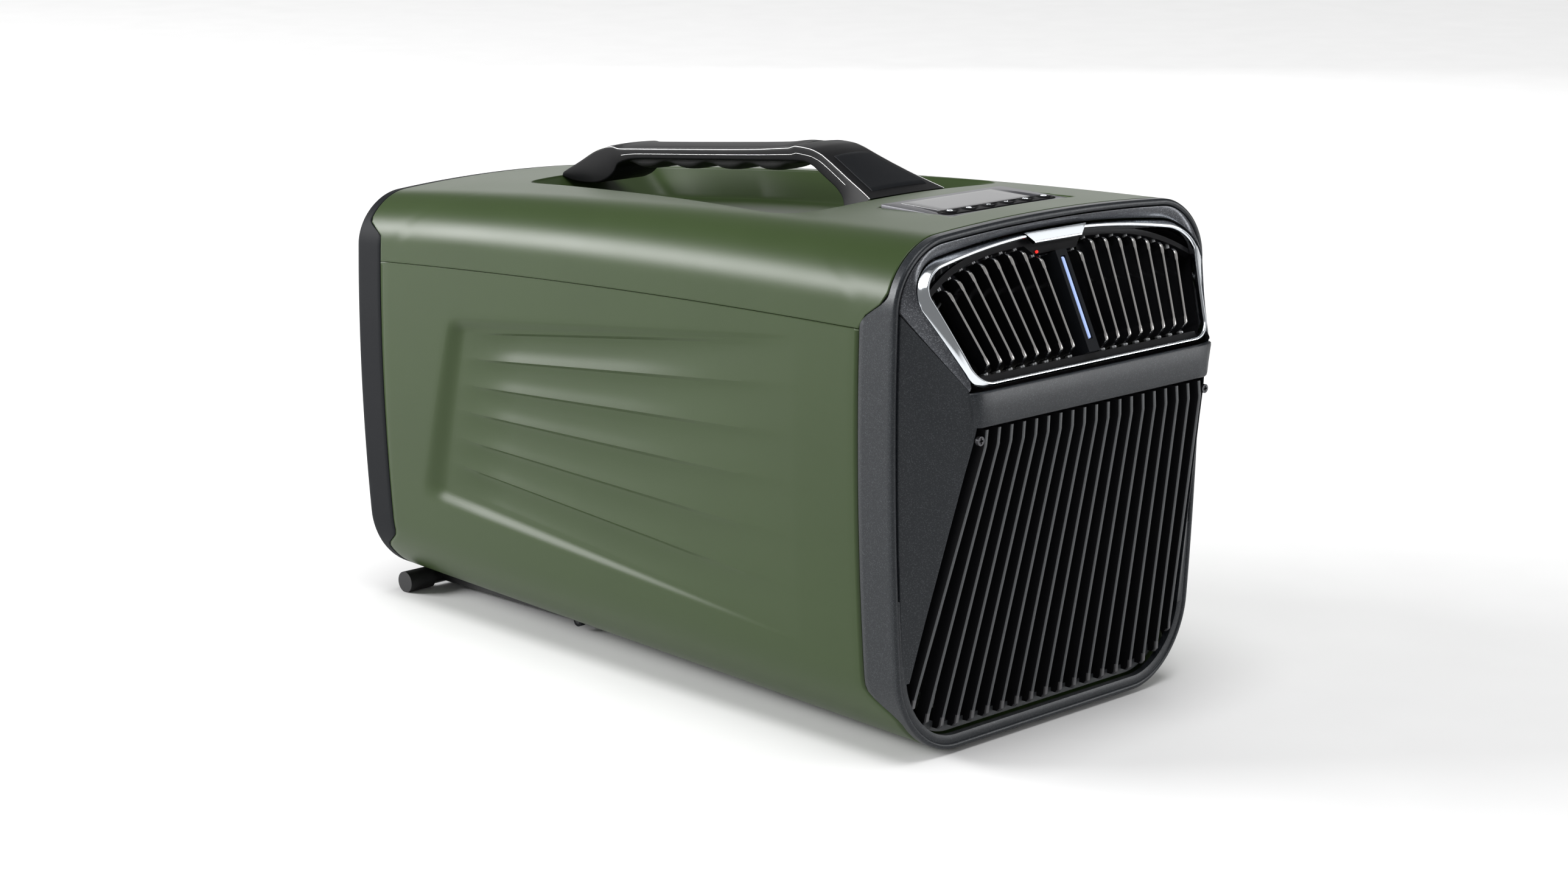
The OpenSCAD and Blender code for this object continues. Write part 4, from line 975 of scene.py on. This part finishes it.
def icon(k, x, y):
    """Generic control marks: power, fan, up, down, cooling and mode."""
    if k == 1:
        return [ring_icon(x, y, 1.5, 0.22, 125, 415), line_icon([(x, y + 0.4), (x, y + 2.0)])]
    if k == 2:
        return [ring_icon(x + 0.8 * math.cos(a), y + 0.8 * math.sin(a), 0.75, 0.2)
                for a in (0.4, 2.5, 4.6)]
    if k in (3, 4):
        s = 1 if k == 3 else -1
        return [line_icon([(x - 1.5, y - 0.7 * s), (x, y + 0.8 * s), (x + 1.5, y - 0.7 * s)])]
    if k == 5:
        return [line_icon([(x - 1.7 * math.cos(a), y - 1.7 * math.sin(a)),
                           (x + 1.7 * math.cos(a), y + 1.7 * math.sin(a))])
                for a in (math.pi / 2, math.pi / 6, -math.pi / 6)]
    return [ring_icon(x, y, 1.6, 0.2), line_icon([(x, y), (x, y + 1.0)]), line_icon([(x, y), (x + 0.8, y)])]


for k in range(1, 7):
    x = (k - 3.5) * KEY_PITCH
    q = rounded(7.8, 7.8, 3.9, x, KEY_Y)
    rows = [on_panel(q[:, 0], q[:, 1], 0.9), on_panel(q[:, 0], q[:, 1], 2.95)]
    for s, z in ((0.96, 3.2), (0.9, 3.32), (0.7, 3.3), (0.4, 3.2), (0.02, 3.15)):
        rows.append(on_panel(x + (q[:, 0] - x) * s, KEY_Y + (q[:, 1] - KEY_Y) * s, z))
    key_cap = grid(f"button_cap_{k}", np.array(rows), close_n=True, cap=True, angle=40, body=f"button_{k}",
                   slot="charcoal_plastic", mats=[GLOSSB])
    mark = join(f"button_mark_{k}", icon(k, x, KEY_Y), body=f"button_{k}", angle=80,
                slot="light_bar", mats=[ICON])
    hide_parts(f"button_{k}")
    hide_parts(f"button_{k}")

# ---------------------------------------------------------------------------
# Finishes of the CAD pieces that stay
# ---------------------------------------------------------------------------
COPPER = material("copper_tube", (0.62, 0.26, 0.13), 0.28, metallic=1.0, vary=0.12, grain=(700, 0.08))
FINS = material("aluminium_fins", (0.55, 0.56, 0.58), 0.38, metallic=0.85, grain=(1200, 0.15))
ZINC = material("zinc_sheet", (0.42, 0.43, 0.44), 0.42, metallic=0.8, vary=0.14)
FOAM = material("pale_foam", (0.62, 0.61, 0.56), 0.85, grain=(900, 0.4))
PAINTK = material("black_enamel", (0.008, 0.008, 0.009), 0.24, coat=0.3, grain=(500, 0.06))
MOTOR = material("motor_paint", (0.09, 0.09, 0.10), 0.42, metallic=0.3, grain=(900, 0.15))
BOARD = material("board_lacquer", (0.010, 0.075, 0.030), 0.22, coat=0.4)
MESH = material("filter_mesh", (0.040, 0.043, 0.048), 0.7, grain=(1500, 0.7))
TUBE = material("stand_enamel", (0.010, 0.010, 0.011), 0.34, grain=(1100, 0.12))
finish = {"outlet_duct": BLACK, "centre_post": CHAR, "rear_grille": CHAR, "intake_filter": MESH,
          "power_inlet": BLACK, "screws": DARK_STEEL, "front_feet": GRIP, "stand_brackets": CHAR,
          "prop_stand": TUBE, "stand_feet": GRIP,
          "base_pan": ZINC, "divider": FOAM, "compressor": PAINTK, "compressor_mounts": GRIP,
          "condenser_coil": FINS, "fan_shroud": BLACK, "fan_motors": MOTOR, "condenser_fan": CHAR,
          "evaporator_coil": FINS, "blower_housing": CHAR, "blower_wheel": CHAR, "refrigerant_pipes": COPPER,
          "control_board": BOARD, "left_link_rod": STEEL, "right_link_rod": STEEL}
for node, finish_of_node in finish.items():
    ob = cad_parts[node]
    for item in (ob if isinstance(ob, (list, tuple)) else [ob]):
        for material_slot in item.material_slots:
            material_slot.material = finish_of_node

# ---------------------------------------------------------------------------
# Floor, light and camera
# ---------------------------------------------------------------------------
floor_m = material("studio_floor", (0.86, 0.86, 0.86), 0.7, vary=0.01)
me = bpy.data.meshes.new("floor")
me.from_pydata([(-30, -30, 0), (30, -30, 0), (30, 30, 0), (-30, 30, 0)], [], [(0, 1, 2, 3)])
floor_ob = bpy.data.objects.new("floor", me)
me.materials.append(floor_m)
bpy.context.scene.collection.objects.link(floor_ob)

world = bpy.data.worlds.new("studio")
world.use_nodes = True
world.node_tree.nodes["Background"].inputs["Color"].default_value = (1, 1, 1, 1)
world.node_tree.nodes["Background"].inputs["Strength"].default_value = 0.22
bpy.context.scene.world = world


def area(name, loc, target, size, power, size_y=None):
    """A soft area light aimed at a target."""
    li = bpy.data.lights.new(name, "AREA")
    li.energy = power
    li.size = size
    if size_y:
        li.shape = "RECTANGLE"
        li.size_y = size_y
    ob = bpy.data.objects.new(name, li)
    ob.location = loc
    ob.rotation_euler = (Vector(target) - Vector(loc)).to_track_quat("-Z", "Y").to_euler()
    bpy.context.scene.collection.objects.link(ob)


area("rear_left", (-2.9, 3.7, 1.85), (0, 0, 0.25), 2.9, 300, 1.25)
area("rear_right", (2.1, 2.1, 1.0), (0, 0, 0.3), 2.0, 9, 1.2)
area("chrome_card", (-2.3, -1.3, 0.95), (0, -0.2, 0.25), 2.0, 4.0, 0.8)
area("tab_card", (2.0, -2.0, 1.5), (0, -0.2, 0.25), 1.0, 3.0)
area("front_right", (2.0, -2.2, 0.42), (0, -0.2, 0.2), 0.9, 26, 0.7)
sun = bpy.data.lights.new("sun", "SUN")
sun.energy = 2.2
sun.angle = math.radians(35)
sun_ob = bpy.data.objects.new("sun", sun)
sun_ob.rotation_euler = (math.radians(8), math.radians(-6), 0)
bpy.context.scene.collection.objects.link(sun_ob)

cam = bpy.data.cameras.new("view")
cam.lens = 74.07
cam.sensor_width = 36
cam_ob = bpy.data.objects.new("view", cam)
fwd = Vector((0.68733, 0.69072, -0.22467)).normalized()
right = fwd.cross(Vector((0, 0, 1))).normalized()
up = right.cross(fwd)
roll = math.radians(0.115)
right, up = right * math.cos(roll) + up * math.sin(roll), up * math.cos(roll) - right * math.sin(roll)
turn = Matrix((right, up, -fwd)).transposed().to_4x4()
cam_ob.matrix_world = Matrix.Translation((-1.3476, -1.3683, 0.5709)) @ turn
bpy.context.scene.collection.objects.link(cam_ob)
bpy.context.scene.camera = cam_ob
bpy.context.scene.view_settings.view_transform = "Standard"
